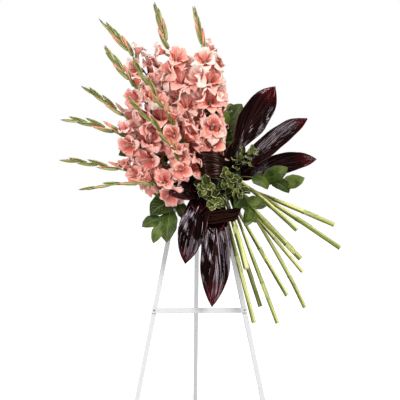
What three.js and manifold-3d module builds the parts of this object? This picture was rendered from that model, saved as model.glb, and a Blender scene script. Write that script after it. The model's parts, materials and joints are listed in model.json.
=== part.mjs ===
// A standing funeral spray: a one-sided fan of gladiolus spikes, dark ti leaves, salal and
// variegated pittosporum, with a second fan of bare gladiolus stems below, all pushed into a
// block of wet floral foam. The foam's tray is wired to a folding white wooden easel.
//
// Millimetres. +X is the viewer's right, +Y is away from the viewer, +Z is up. Places are
// written from the point on the floor right below the easel's pivot bolt. At the end the
// whole group is moved so that its origin is the bottom centre of its own bounding box.

import * as THREE from "three";
import { mergeVertices } from "three/addons/utils/BufferGeometryUtils.js";
import Module from "manifold-3d";

const wasm = await Module();
wasm.setup();
const { Manifold } = wasm;

// Easel: three square wooden legs on one bolt, and a rail across the front pair.
const LEG = 18;
const BOLT_HEIGHT = 1400;
const FRONT_LEAN = THREE.MathUtils.degToRad(12);
const REAR_LEAN = THREE.MathUtils.degToRad(19);
const FOOT_SPREAD = 298;
const HEAD_SPREAD = 22;
const FRONT_LEG_ABOVE_BOLT = 32;
const REAR_LEG_ABOVE_BOLT = 11;
const BOLT_R = 3;
const BOLT_HOLE_R = 3.5;
const WASHER_R = 8;
const WASHER_THICK = 1.6;
const NUT_R = 6;
const NUT_THICK = 4.5;
const RAIL_HEIGHT = 603;
const RAIL_WIDE = 20;
const RAIL_THICK = 8;
const SCREW_R = 2;
const SCREW_HOLE_R = 2.5;
const TOUCH = 0.3; // the gap left between pieces that touch

// Holder: a plastic tray against the front legs, with the foam block in it.
const HOLDER_X = 36;
const HOLDER_DROP = 309; // from the bolt down the slope of the front legs
const TRAY = { wide: 268, high: 116, plate: 3, rim: 20, wall: 2.4 };
const FOAM = { wide: 262, high: 110, deep: 76 };
const WIRE_R = 1;
const WIRE_HOLE_R = 1.7;
const WIRE_SPAN = 12.4; // half the distance between the two holes of a tie

// Foliage.
const PETAL_THICK = 0.8;
const LEAF_THICK = 0.9;
const CLEAR = 0.6; // how far a neighbour is swollen before it is cut away
const FLORET_R = 54;
const TUBE_LENGTH = 25;
const THROAT_R = 6;
const NOTCH_ANGLE = 30; // from a petal's tip to the notch beside it
const JOINT_SWELL = 1.14; // a cut stem's joint, as a multiple of its radius
const JOINT_HALF = 0.012; // and half the joint's length, as a share of the stem

const WHITE_PAINT = { color: 0xeeeeee, roughness: 0.5 };
const ZINC = { color: 0xb5b8ba, roughness: 0.35, metalness: 0.9 };
const TRAY_PLASTIC = { color: 0x2f4a34, roughness: 0.6 };
const FOAM_GREEN = { color: 0x3f6b4a, roughness: 0.95 };
const CORAL = { color: 0xe8908a, roughness: 0.55 };
const STEM_GREEN = { color: 0x9aa83c, roughness: 0.5 };
const BURGUNDY = { color: 0x2b0f16, roughness: 0.25 };
const SALAL_GREEN = { color: 0x3d5a2c, roughness: 0.45 };
const PITTOSPORUM_GREEN = { color: 0x6f8a45, roughness: 0.5 };

const vec = (x, y, z) => new THREE.Vector3(x, y, z);
const TO_VIEWER = vec(0, -1, 0.01); // a touch off the axis, so that no stem lies along it
const mix = (a, b, t) => a + (b - a) * t;

// A repeatable number from 0 to 1 for each pair of seeds.
function chance(a, b) {
  const n = Math.sin(a * 127.1 + b * 311.7) * 43758.5453;
  return n - Math.floor(n);
}

// Solids from geometry

// A closed BufferGeometry as a solid, with its faces turned out.
function solidOf(geometry) {
  const bare = geometry.index ? geometry.toNonIndexed() : geometry.clone();
  bare.deleteAttribute("normal");
  bare.deleteAttribute("uv");
  const merged = mergeVertices(bare, 1e-4);
  return closed(Array.from(merged.attributes.position.array), Array.from(merged.index.array));
}

function closed(coordinates, triangles) {
  const make = (tris) =>
    new Manifold(
      new wasm.Mesh({
        numProp: 3,
        vertProperties: Float32Array.from(coordinates),
        triVerts: Uint32Array.from(tris),
      })
    );
  const made = make(triangles);
  if (made.volume() > 0) return made;
  const turned = [];
  for (let i = 0; i < triangles.length; i += 3)
    turned.push(triangles[i], triangles[i + 2], triangles[i + 1]);
  return make(turned);
}

const flat = (points) => points.flatMap((p) => [p.x, p.y, p.z]);
const placed = (solid, matrix) => solid.transform(matrix.elements);

// The mesh of a solid, ready for the group.
function meshOf(name, solid, look) {
  const m = solid.getMesh();
  const position = new Float32Array(m.numVert * 3);
  for (let i = 0; i < m.numVert; i++)
    position.set(m.vertProperties.subarray(i * m.numProp, i * m.numProp + 3), i * 3);
  const geometry = new THREE.BufferGeometry();
  geometry.setAttribute("position", new THREE.BufferAttribute(position, 3));
  geometry.setIndex(new THREE.BufferAttribute(m.triVerts, 1));
  geometry.computeVertexNormals();
  const mesh = new THREE.Mesh(geometry, new THREE.MeshStandardMaterial(look));
  mesh.name = name;
  return mesh;
}

// A solid pushed out along its angle-weighted vertex normals.
function swollen(solid, by) {
  const m = solid.getMesh();
  const at = (i) => vec(...m.vertProperties.subarray(i * m.numProp, i * m.numProp + 3));
  const points = Array.from({ length: m.numVert }, (_, i) => at(i));
  const normals = points.map(() => vec(0, 0, 0));
  for (let i = 0; i < m.triVerts.length; i += 3) {
    const ids = [m.triVerts[i], m.triVerts[i + 1], m.triVerts[i + 2]];
    const [a, b, c] = ids.map((id) => points[id]);
    const face = b.clone().sub(a).cross(c.clone().sub(a)).normalize();
    ids.forEach((id, k) => {
      const one = points[ids[(k + 1) % 3]].clone().sub(points[id]);
      const two = points[ids[(k + 2) % 3]].clone().sub(points[id]);
      normals[id].addScaledVector(face, one.angleTo(two) || 0);
    });
  }
  points.forEach((p, i) => p.addScaledVector(normals[i].normalize(), by));
  return closed(flat(points), Array.from(m.triVerts));
}

const ring = (centre, u, v, radius, sides) =>
  Array.from({ length: sides }, (_, i) => {
    const a = (i / sides) * 2 * Math.PI;
    return centre
      .clone()
      .addScaledVector(u, Math.cos(a) * radius)
      .addScaledVector(v, Math.sin(a) * radius);
  });

// A closed skin through rings of equally many points, with flat ends or end joined to start.
function loft(rings, looped = false) {
  const n = rings[0].length;
  const triangles = [];
  const last = looped ? rings.length : rings.length - 1;
  for (let r = 0; r < last; r++)
    for (let i = 0; i < n; i++) {
      const next = ((r + 1) % rings.length) * n;
      const a = r * n + i;
      const b = r * n + ((i + 1) % n);
      const c = next + i;
      const d = next + ((i + 1) % n);
      triangles.push(a, b, d, a, d, c);
    }
  if (!looped)
    for (let i = 1; i < n - 1; i++) {
      const top = (rings.length - 1) * n;
      triangles.push(0, i + 1, i, top, top + i, top + i + 1);
    }
  return closed(flat(rings.flat()), triangles);
}

// Two directions square to a tangent, the first as near as it can be to a wished one.
function squareTo(tangent, wish) {
  const u = wish.clone().addScaledVector(tangent, -wish.dot(tangent)).normalize();
  return [u, tangent.clone().cross(u)];
}

// A round stalk along a curve, with a radius for each share of its length.
function stalk(curve, radiusAt, { sides, steps }) {
  const rings = [];
  for (let i = 0; i <= steps; i++) {
    const t = i / steps;
    const [u, v] = squareTo(curve.getTangentAt(t), TO_VIEWER);
    rings.push(ring(curve.getPointAt(t), u, v, radiusAt(t), sides));
  }
  return loft(rings);
}

// A thin sheet through rows of points, split into triangles alike on both faces.
function sheet(rows, thick) {
  const across = rows[0].length;
  const at = (i, j) =>
    rows[Math.min(Math.max(i, 0), rows.length - 1)][Math.min(Math.max(j, 0), across - 1)];
  const front = [];
  const back = [];
  rows.forEach((row, i) =>
    row.forEach((p, j) => {
      const along = at(i + 1, j).clone().sub(at(i - 1, j));
      const over = at(i, j + 1).clone().sub(at(i, j - 1));
      const normal = along.cross(over).normalize();
      front.push(p.clone().addScaledVector(normal, thick / 2));
      back.push(p.clone().addScaledVector(normal, -thick / 2));
    })
  );
  const id = (i, j) => i * across + j;
  const under = front.length;
  const triangles = [];
  for (let i = 0; i < rows.length - 1; i++)
    for (let j = 0; j < across - 1; j++) {
      const [a, b, c, d] = [id(i, j), id(i + 1, j), id(i + 1, j + 1), id(i, j + 1)];
      triangles.push(a, b, c, a, c, d);
      triangles.push(under + a, under + c, under + b, under + a, under + d, under + c);
    }
  const edge = [];
  for (let i = 0; i < rows.length - 1; i++) edge.push(id(i, 0));
  for (let j = 0; j < across - 1; j++) edge.push(id(rows.length - 1, j));
  for (let i = rows.length - 1; i > 0; i--) edge.push(id(i, across - 1));
  for (let j = across - 1; j > 0; j--) edge.push(id(0, j));
  edge.forEach((a, k) => {
    const b = edge[(k + 1) % edge.length];
    triangles.push(a, under + a, b, b, under + a, under + b);
  });
  return closed(flat([...front, ...back]), triangles);
}

// Leaves

// A leaf blade: rows across a midrib curve. A fold lifts both halves off the midrib, and a
// wave lifts the edges in turn.
function blade(curve, face, { width, rows = 4, columns = 2, from = 0, fold = 0.2, wave = 0,
  widest = 0.45, thick = LEAF_THICK }) {
  const grid = [];
  for (let i = 0; i <= rows; i++) {
    const s = i / rows;
    const t = mix(from, 1, s);
    const tangent = curve.getTangentAt(t);
    const [normal] = squareTo(tangent, face);
    const side = tangent.clone().cross(normal);
    const half = (width / 2) * leafOutline(s, widest);
    const row = [];
    for (let j = 0; j <= columns; j++) {
      const v = (j / columns) * 2 - 1;
      const lift = half * fold * Math.abs(v) + width * wave * Math.sin(s * 9 + v) * v * v;
      row.push(
        curve.getPointAt(t).addScaledVector(side, half * v).addScaledVector(normal, lift)
      );
    }
    grid.push(row);
  }
  return sheet(grid, thick);
}

// A leaf's half width, as a share of its greatest, at each share of its length.
function leafOutline(s, widest) {
  const power = Math.log(0.5) / Math.log(widest);
  return Math.max(Math.sin(Math.PI * Math.pow(s, power)) ** 0.75, s < 0.5 ? 0.08 : 0.03);
}

// A curve from root to tip whose middle is pushed aside by a bow.
function bowed(root, tip, bow) {
  const middle = root.clone().add(tip).multiplyScalar(0.5).addScaledVector(bow, 2);
  return new THREE.QuadraticBezierCurve3(root, middle, tip);
}

// A ti leaf: a firm stalk in the foam, and a long creased blade.
function tiLeaf({ root, tip, bow, face, width, from, fold }) {
  const curve = bowed(vec(...root), vec(...tip), vec(...bow));
  const stem = new THREE.QuadraticBezierCurve3(
    curve.getPointAt(0), curve.getPointAt(from * 0.6), curve.getPointAt(from * 1.2));
  return {
    core: stalk(stem, (t) => mix(4, 2.2, t), { sides: 5, steps: 2 }),
    soft: [blade(curve, vec(...face), { width, rows: 7, columns: 2, from, fold, widest: 0.5 })],
  };
}

// A ti leaf bent over on itself: stations of a centre and a half width along its length.
function foldedTiLeaf({ root, stations }) {
  const rows = stations.map(([centre, half]) =>
    [-1, 0, 1].map((v) => vec(...centre).addScaledVector(vec(...half), v))
  );
  const first = rows[0][1];
  const second = rows[1][1];
  const stem = new THREE.QuadraticBezierCurve3(vec(...root), first.clone(), second.clone());
  return {
    core: stalk(stem, (t) => mix(4, 2, t), { sides: 5, steps: 2 }),
    soft: [sheet(rows, LEAF_THICK)],
  };
}

// A leafy twig: leaves turn round the stem, or stand in two ranks.
function sprig({ root, tip, bow, face, leaves, length, width, rows, columns, radius, first,
  turn, open, stand, lift, wave, seed }) {
  const curve = bowed(vec(...root), vec(...tip), vec(...bow));
  const soft = [];
  for (let i = 0; i < leaves; i++) {
    const t = mix(first, 0.97, i / (leaves - 1));
    const tangent = curve.getTangentAt(t);
    const [u, v] = squareTo(tangent, vec(...face));
    const angle = Math.PI / 2 + i * turn + (chance(seed, i) - 0.5) * 0.5;
    const out = u.clone().multiplyScalar(Math.cos(angle)).addScaledVector(v, Math.sin(angle));
    const lean = mix(open, open * 0.55, i / leaves);
    const heading = tangent.clone().multiplyScalar(Math.cos(lean));
    heading.addScaledVector(out, Math.sin(lean)).addScaledVector(vec(...face), stand).normalize();
    const size = length * mix(1.05, 0.8, i / leaves) * mix(0.9, 1.1, chance(seed + 1, i));
    const start = curve.getPointAt(t);
    const end = start.clone().addScaledVector(heading, size);
    const droop = out.clone().multiplyScalar(-0.06 * size).add(tangent.clone().multiplyScalar(2));
    const upward = vec(...face).addScaledVector(tangent, lift).addScaledVector(out, -0.2);
    soft.push(
      blade(bowed(start, end, droop), upward, {
        width: (size * width) / length, rows, columns, fold: 0.18, wave })
    );
  }
  return { core: stalk(curve, (t) => mix(radius, radius * 0.5, t), { sides: 4, steps: 3 }), soft };
}

// Gladiolus

// Triangles between two closed loops of points that start together.
function stitch(a, b) {
  const triangles = [];
  let i = 0;
  let j = 0;
  while (i < a.length || j < b.length) {
    const takeA = j >= b.length || (i < a.length && (i + 1) / a.length <= (j + 1) / b.length);
    const from = [a[i % a.length], b[j % b.length]];
    if (takeA) triangles.push(from[0], a[(i + 1) % a.length], from[1]);
    else triangles.push(from[0], b[(j + 1) % b.length], from[1]);
    if (takeA) i++;
    else j++;
  }
  return triangles;
}

// An open floret in one skin: a tube that widens to a funnel with six lobes, three of them
// further out than the rest. It opens along +Z and its hood leans towards +X.
function floretShape(size, spread) {
  const loops = [
    { out: [2 / FLORET_R], angles: [0], lobes: 3, z: 0 },
    { out: [THROAT_R / FLORET_R], angles: [0], lobes: 6, z: TUBE_LENGTH },
    { out: [0.44], angles: [0], lobes: 6, reach: 0.45 },
    { out: [1, 0.8], angles: [0, NOTCH_ANGLE], lobes: 6, reach: 0.72 },
  ];
  const points = [];
  const ids = loops.map(({ out, angles, lobes, reach = 0, z }) =>
    Array.from({ length: lobes * angles.length }, (_, i) => {
      const lobe = Math.floor(i / angles.length);
      const step = i % angles.length;
      const angle = THREE.MathUtils.degToRad((lobe * 360) / lobes + angles[step]);
      const hood = Math.cos(angle);
      const notch = angles[step] === NOTCH_ANGLE;
      const inner = lobe % 2 === 0 && !notch;
      const flare = reach ? size * spread * (inner ? 0.93 : 1.05) : 1;
      const r = FLORET_R * out[step] * flare * (1 - 0.14 * hood * reach);
      const rise = reach * (inner ? 1.08 : 0.96) * (1 + 0.24 * hood) * (2 - spread);
      const height = z ?? TUBE_LENGTH + FLORET_R * size * rise;
      points.push(vec(Math.cos(angle) * r, Math.sin(angle) * r, height));
      return points.length - 1;
    })
  );
  const [root, throat, middle, rim] = ids;
  const cup = [...stitch(throat, middle), ...stitch(middle, rim)];
  const cap = ([first, ...rest]) =>
    rest.slice(1).flatMap((id, i) => [first, id, rest[i]]);
  const outside = [...cap(root), ...stitch(root, throat), ...cup];
  const normals = points.map(() => vec(0, 0, 0));
  for (let i = 0; i < outside.length; i += 3) {
    const [a, b, c] = outside.slice(i, i + 3).map((id) => points[id]);
    const face = b.clone().sub(a).cross(c.clone().sub(a));
    for (let k = 0; k < 3; k++) normals[outside[i + k]].add(face);
  }
  const inside = points.map((p, i) =>
    p.clone().addScaledVector(normals[i].normalize(), -PETAL_THICK));
  const lining = [...cap(throat), ...cup].map((id) => id + points.length);
  for (let i = 0; i < lining.length; i += 3)
    [lining[i + 1], lining[i + 2]] = [lining[i + 2], lining[i + 1]];
  const hem = rim.flatMap((a, k) => {
    const b = rim[(k + 1) % rim.length];
    return [a, b, b + points.length, a, b + points.length, a + points.length];
  });
  const triangles = [...outside, ...lining, ...hem];
  const used = [...new Set(triangles)];
  const order = new Map(used.map((id, i) => [id, i]));
  const all = [...points, ...inside];
  return closed(flat(used.map((id) => all[id])), triangles.map((id) => order.get(id)));
}

const floret = (origin, heading, wish, size, spread) =>
  placed(floretShape(size, spread), looking(origin, heading, wish));

// A frame that looks along a direction, with +X towards a wished one.
function looking(origin, heading, wish) {
  const [u, v] = squareTo(heading, wish);
  return new THREE.Matrix4().makeBasis(u, v, heading).setPosition(origin);
}

// A closed bud in its green sheath: a slim spindle with three sides.
function bud(origin, heading, wish, length, radius) {
  const [u, v] = squareTo(heading, wish);
  const at = (share) => origin.clone().addScaledVector(heading, length * share);
  const points = [at(0), ...ring(at(0.4), u, v, radius, 3), at(1)];
  const triangles = [1, 2, 3].flatMap((a) => [0, (a % 3) + 1, a, 4, a, (a % 3) + 1]);
  return closed(flat(points), triangles);
}

// A spike: a tapering stem, open florets in two ranks from the foam up, then buds that get
// smaller to the tip. The florets turn towards its facing side.
function spike({ root, tip, bow, face, florets, buds, seed, first }) {
  const curve = bowed(vec(...root), vec(...tip), vec(...bow));
  const soft = [];
  const [low, high, count] = florets;
  const rankAt = (t, i, lean, rank) => {
    const tangent = curve.getTangentAt(t);
    const [front, side] = squareTo(tangent, vec(...face));
    const angle = (i % 2 ? -first : first) * rank + (chance(seed, i) - 0.5) * 0.4;
    const out = front.multiplyScalar(Math.cos(angle)).addScaledVector(side, Math.sin(angle));
    const heading = tangent.clone().multiplyScalar(Math.cos(lean));
    return { tangent, heading: heading.addScaledVector(out, Math.sin(lean)) };
  };
  for (let i = 0; i < count; i++) {
    const t = mix(high, low, i / (count - 1));
    const lean = mix(0.7, 1.15, Math.min(1, i / 3)) + (chance(seed + 3, i) - 0.5) * 0.2;
    const { tangent, heading } = rankAt(t, i, lean, mix(1.1, 0.75, Math.min(1, i / 3)));
    const size = mix(0.72, 1, Math.min(1, i / 2)) * mix(0.95, 1.07, chance(seed + 5, i));
    const spread = mix(0.72, 1, Math.min(1, i / 2));
    soft.push(floret(curve.getPointAt(t), heading, tangent, size, spread));
  }
  for (let i = 0; i < buds; i++) {
    const up = i / (buds - 1);
    const t = mix(high + 0.05, 0.97, up ** 0.9);
    const { tangent, heading } = rankAt(t, i, mix(0.42, 0.16, up), 1.35);
    soft.push(bud(curve.getPointAt(t), heading, tangent, mix(66, 28, up), mix(11, 4.4, up)));
  }
  return { core: stalk(curve, (t) => mix(5.5, 1.4, t ** 1.3), { sides: 5, steps: 5 }), soft };
}

// A cut gladiolus stem with the swollen joint where a leaf grew.
function cutStem({ root, tip, bow, radius, joint }) {
  const curve = bowed(vec(...root), vec(...tip), vec(...bow));
  const stations = [0, 0.25, joint - JOINT_HALF, joint, joint + JOINT_HALF, 1];
  const rings = stations.map((t) => {
    const [u, v] = squareTo(curve.getTangentAt(t), TO_VIEWER);
    const swell = t === joint ? JOINT_SWELL : 1;
    return ring(curve.getPointAt(t), u, v, radius * swell, 6);
  });
  return { core: loft(rings), soft: [] };
}

// What is pushed into the foam. Roots are inside it.

const SPIKES = {
  gladiolus_top: { root: [22, -112, 1122], tip: [-179, -140, 1836], bow: [4, -6, 4],
    face: [-0.1, -1, 0], florets: [0.17, 0.7, 8], buds: 7, seed: 1, first: -1 },
  gladiolus_top_right: { root: [44, -95, 1124], tip: [-27, -190, 1810], bow: [22, -8, 0],
    face: [0.7, -1, 0], florets: [0.13, 0.7, 9], buds: 7, seed: 2, first: 1 },
  gladiolus_upper_left: { root: [0, -92, 1126], tip: [-405, -60, 1783], bow: [30, 10, 38],
    face: [0.2, -1, 0.1], florets: [0.34, 0.7, 6], buds: 8, seed: 3, first: 1 },
  gladiolus_left_high: { root: [-26, -118, 1124], tip: [-375, -220, 1642], bow: [12, -16, 8],
    face: [0, -1, 0.1], florets: [0.33, 0.66, 5], buds: 7, seed: 4, first: 1 },
  gladiolus_front_high: { root: [2, -122, 1106], tip: [-258, -370, 1569], bow: [16, 0, 10],
    face: [0.1, -1, 0.3], florets: [0.17, 0.47, 4], buds: 7, seed: 5, first: 1 },
  gladiolus_left_mid: { root: [-50, -95, 1126], tip: [-465, -70, 1504], bow: [14, 0, 18],
    face: [0, -1, 0.2], florets: [0.3, 0.54, 4], buds: 8, seed: 6, first: 1 },
  gladiolus_front_low: { root: [-32, -124, 1098], tip: [-267, -440, 1408], bow: [14, -44, 26],
    face: [0.3, -1, 0], florets: [0.13, 0.34, 3], buds: 7, seed: 7, first: 1 },
  gladiolus_left: { root: [-62, -120, 1122], tip: [-528, -250, 1356], bow: [0, -14, 54],
    face: [0, -1, 0], florets: [0.3, 0.52, 3], buds: 8, seed: 8, first: 1 },
  gladiolus_left_low: { root: [-60, -108, 1098], tip: [-535, -170, 1204], bow: [0, 0, 12],
    face: [0, -1, 0.2], florets: [0.16, 0.42, 4], buds: 8, seed: 9, first: 1 },
  gladiolus_bottom: { root: [-56, -138, 1080], tip: [-440, -290, 1084], bow: [0, -12, 18],
    face: [0, -1, 0], florets: [0.17, 0.42, 3], buds: 7, seed: 10, first: 1 },
};

const CUT_STEMS = {
  stem_1: { root: [134, -114, 1112], tip: [541, -160, 944], bow: [0, 0, 4], radius: 7, joint: 0.7 },
  stem_2: { root: [136, -124, 1134], tip: [556, -210, 854], bow: [0, 0, 4], radius: 7, joint: 0.6 },
  stem_3: { root: [122, -134, 1150], tip: [376, -270, 927], bow: [4, 0, 6], radius: 7, joint: 0.5 },
  stem_4: { root: [120, -140, 1104], tip: [398, -220, 812], bow: [0, 0, 2], radius: 8, joint: 0.8 },
  stem_5: { root: [130, -113, 1090], tip: [416, -142, 755], bow: [0, 0, 2], radius: 5.5, joint: 0.6 },
  stem_6: { root: [146, -126, 1086], tip: [417, -200, 617], bow: [14, 0, 4], radius: 6, joint: 0.75 },
  stem_7: { root: [112, -120, 1078], tip: [349, -180, 663], bow: [0, 0, 0], radius: 6.5, joint: 0.55 },
  stem_8: { root: [112, -144, 1085], tip: [303, -250, 562], bow: [0, 0, 0], radius: 6, joint: 0.7 },
  stem_9: { root: [96, -124, 1080], tip: [242, -190, 621], bow: [0, 0, 0], radius: 6.5, joint: 0.65 },
  stem_10: { root: [82, -138, 1085], tip: [210, -260, 566], bow: [0, 0, 0], radius: 6.5, joint: 0.5 },
  stem_11: { root: [98, -158, 1070], tip: [179, -290, 778], bow: [4, 0, 0], radius: 9, joint: 0.45 },
};

const TI_LEAVES = {
  ti_leaf_upright: { root: [104, -126, 1128], tip: [301, -180, 1497], bow: [-20, -10, 4],
    face: [0.25, -1, 0.15], width: 122, from: 0.12, fold: 0.14 },
  ti_leaf_right_high: { root: [130, -104, 1136], tip: [422, -230, 1365], bow: [6, -10, 12],
    face: [-0.1, -1, 0.5], width: 100, from: 0.2, fold: 0.2 },
  ti_leaf_right: { root: [150, -102, 1128], tip: [467, -180, 1207], bow: [0, -10, 14],
    face: [0.1, -1, 0.35], width: 88, from: 0.2, fold: 0.2 },
  ti_leaf_down: { root: [62, -140, 1096], tip: [46, -250, 626], bow: [10, -20, 0],
    face: [0.1, -1, 0.1], width: 118, from: 0.14, fold: 0.12 },
  ti_leaf_down_left: { root: [28, -140, 1116], tip: [-58, -240, 793], bow: [-4, -34, 0],
    face: [-0.3, -1, 0.1], width: 108, from: 0.1, fold: 0.3 },
  ti_leaf_left: { root: [10, -140, 1098], tip: [-122, -240, 1074], bow: [0, -26, 14],
    face: [0.1, -1, 0.2], width: 84, from: 0.2, fold: 0.2 },
};

const FOLDED_TI_LEAVES = {
  ti_leaf_roll: {
    root: [94, -140, 1150],
    stations: [
      [[96, -166, 1160], [0, 0, 22]],
      [[100, -200, 1168], [0, 4, 40]],
      [[88, -232, 1176], [-4, 6, 48]],
      [[50, -246, 1182], [-6, 8, 52]],
      [[12, -238, 1184], [-8, 8, 50]],
      [[-6, -206, 1182], [-8, 4, 44]],
      [[2, -172, 1176], [-4, 2, 32]],
    ],
  },
  ti_leaf_band: {
    root: [125, -147, 1083],
    stations: [
      [[136, -174, 1062], [14, -2, 8]],
      [[150, -206, 1026], [18, -4, 8]],
      [[158, -222, 1000], [10, -2, 20]],
      [[140, -228, 988], [0, -2, 24]],
      [[96, -232, 982], [-2, -2, 25]],
      [[54, -230, 976], [-2, -2, 25]],
      [[22, -226, 974], [0, 0, 20]],
      [[4, -222, 976], [0, 0, 3]],
    ],
  },
};

const SALAL = { leaves: 5, length: 84, width: 54, rows: 3, columns: 1, radius: 2.6,
  first: 0.34, turn: Math.PI, open: 0.85, stand: 0.3, lift: 0.1, wave: 0.015 };
const PITTOSPORUM = { leaves: 6, length: 48, width: 28, rows: 2, columns: 1, radius: 2,
  first: 0.42, turn: 2.4, open: 1.15, stand: 0, lift: 1, wave: 0.05 };

const SALAL_TWIGS = {
  salal_upright: { ...SALAL, root: [82, -104, 1128], tip: [132, -150, 1400], bow: [-4, 0, 0],
    face: [0.1, -1, 0.1], leaves: 5, first: 0.45, length: 92, width: 60, seed: 21 },
  salal_right: { ...SALAL, root: [150, -120, 1140], tip: [318, -200, 1112], bow: [0, -6, 6],
    face: [0, -1, 0.3], leaves: 4, length: 92, width: 58, seed: 22 },
  salal_lower_right: { ...SALAL, root: [150, -146, 1098], tip: [196, -206, 1016],
    bow: [4, -8, 4], face: [0.2, -1, 0.2], leaves: 3, seed: 23 },
  salal_lower_left: { ...SALAL, root: [-70, -130, 1068], tip: [-186, -200, 960],
    bow: [-8, -8, 4], face: [-0.1, -1, 0.2], leaves: 5, first: 0.25, length: 84, seed: 24 },
  salal_left: { ...SALAL, root: [-76, -92, 1146], tip: [-240, -90, 1240], bow: [0, 4, 10],
    face: [0, -1, 0.2], leaves: 4, seed: 25 },
};

const PITTOSPORUM_TWIGS = {
  pittosporum_centre: { ...PITTOSPORUM, root: [90, -142, 1112], tip: [112, -250, 1124],
    bow: [0, 0, 8], face: [0, 0, 1], leaves: 8, seed: 31 },
  pittosporum_left: { ...PITTOSPORUM, root: [46, -142, 1104], tip: [24, -256, 1090],
    bow: [0, 0, 8], face: [0, 0, 1], seed: 32 },
  pittosporum_low: { ...PITTOSPORUM, root: [74, -150, 1088], tip: [60, -250, 1036],
    bow: [0, 0, 8], face: [0, 0, 1], seed: 33 },
  pittosporum_right: { ...PITTOSPORUM, root: [108, -144, 1112], tip: [158, -240, 1080],
    bow: [0, 0, 8], face: [0, 0, 1], seed: 34 },
  pittosporum_high: { ...PITTOSPORUM, root: [108, -136, 1152], tip: [192, -206, 1190],
    bow: [0, 0, 8], face: [0, 0, 1], seed: 35 },
};

// Keeps the largest body of a solid, so that a scrap cut loose falls away.
function largest(solid) {
  const bodies = solid.decompose();
  return bodies.reduce((a, b) => (a.volume() > b.volume() ? a : b));
}

const touches = (a, b) => {
  const [p, q] = [a.boundingBox(), b.boundingBox()];
  return [0, 1, 2].every((k) => p.min[k] < q.max[k] && q.min[k] < p.max[k]);
};

const box = (x, y, z) => solidOf(new THREE.BoxGeometry(x, y, z));
const rod = (radius, length, sides) =>
  solidOf(new THREE.CylinderGeometry(radius, radius, length, sides));
const moved = (solid, x, y, z) => solid.translate([x, y, z]);

// The slope of the front legs. Its origin is the bolt, -Z runs down the legs and -Y points
// out to the viewer. The holder and the rail are placed on it.
const front = new THREE.Group();
front.position.z = BOLT_HEIGHT;
front.rotation.x = -FRONT_LEAN;
front.updateMatrixWorld(true);

// How far a front leg's axis stands from the middle, at a distance down the slope.
const legLength = BOLT_HEIGHT / Math.cos(FRONT_LEAN);
const legOffset = (drop) => mix(HEAD_SPREAD, FOOT_SPREAD, drop / legLength);
const legSplay = Math.atan((FOOT_SPREAD - HEAD_SPREAD) / legLength);
const legHalf = LEG / 2 / Math.cos(legSplay);

// Holder, in the slope's own directions round the middle of the foam

const trayBack = -LEG / 2 - TOUCH;
const foamBack = trayBack - TRAY.plate - TOUCH;
const tieAt = (side) => side * legOffset(HOLDER_DROP) - HOLDER_X;

function tray() {
  const { wide, high, plate, rim, wall } = TRAY;
  const shell = moved(box(wide, plate + rim, high), 0, trayBack - (plate + rim) / 2, 0);
  const inside = moved(
    box(wide - 2 * wall, rim + 2, high - 2 * wall), 0, trayBack - plate - rim / 2 - 1, 0);
  const holes = [-1, 1].flatMap((side) =>
    [-1, 1].map((end) =>
      moved(rod(WIRE_HOLE_R, 4 * plate, 8), tieAt(side) + end * WIRE_SPAN, trayBack, 0))
  );
  return shell.subtract(Manifold.union([inside, ...holes]));
}

const foamBlock = moved(
  box(FOAM.wide, FOAM.deep, FOAM.high), 0, foamBack - FOAM.deep / 2, 0);

// The foam has a groove for each tie and a plain hole for each stem.
function foam(holes) {
  const grooves = [-1, 1].map((side) =>
    moved(box(2 * WIRE_SPAN + 6, 5.6, 5), tieAt(side), foamBack, 0));
  return largest(foamBlock.subtract(Manifold.union([...grooves, ...holes])));
}

// A wire loop through the tray and round a leg, about the leg's own axis.
function wireTie() {
  const [left, right] = [-WIRE_SPAN, WIRE_SPAN];
  const near = foamBack - WIRE_R;
  const far = LEG / 2 + TOUCH + WIRE_R;
  const bend = 1.2;
  const corners = [
    [left, near + bend], [left + bend, near], [right - bend, near], [right, near + bend],
    [right, far - bend], [right - bend, far], [left + bend, far], [left, far - bend],
  ].map(([x, y]) => vec(x, y, 0));
  const rings = corners.map((p, i) => {
    const before = corners[(i + corners.length - 1) % corners.length];
    const along = corners[(i + 1) % corners.length].clone().sub(before).normalize();
    return ring(p, vec(along.y, -along.x, 0), vec(0, 0, 1), WIRE_R, 6);
  });
  return loft(rings, true);
}

// Every plant as one solid. Blades and petals are cut clear of the holder, of every other
// plant's stem, and of the blades and petals of the plants before them.
function arrange(plants, holder) {
  const stems = plants.map(({ core }) => swollen(core, CLEAR));
  const taken = [];
  return plants.map(({ name, look, core, soft }, i) => {
    let solid = core;
    if (soft.length) {
      const cloud = Manifold.union(soft);
      const others = [holder, ...stems.filter((_, k) => k !== i), ...taken];
      const near = others.filter((other) => touches(other, cloud));
      solid = largest(core.add(cloud.subtract(Manifold.union(near)))).simplify(0.02);
      taken.push(swollen(solid, CLEAR));
    }
    return { name, look, solid, hole: stems[i] };
  });
}

const grow = (table, make, look) =>
  Object.entries(table).map(([name, sizes]) => ({ name, look, ...make(sizes) }));
const holderPlace = new THREE.Matrix4()
  .makeTranslation(HOLDER_X, 0, -HOLDER_DROP)
  .premultiply(front.matrixWorld);
const plants = arrange(
  [
    ...grow(CUT_STEMS, cutStem, STEM_GREEN),
    ...grow(TI_LEAVES, tiLeaf, BURGUNDY),
    ...grow(FOLDED_TI_LEAVES, foldedTiLeaf, BURGUNDY),
    ...grow(SPIKES, spike, CORAL),
    ...grow(SALAL_TWIGS, sprig, SALAL_GREEN),
    ...grow(PITTOSPORUM_TWIGS, sprig, PITTOSPORUM_GREEN),
  ],
  placed(swollen(foamBlock, CLEAR), holderPlace)
);

// Easel

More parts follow.
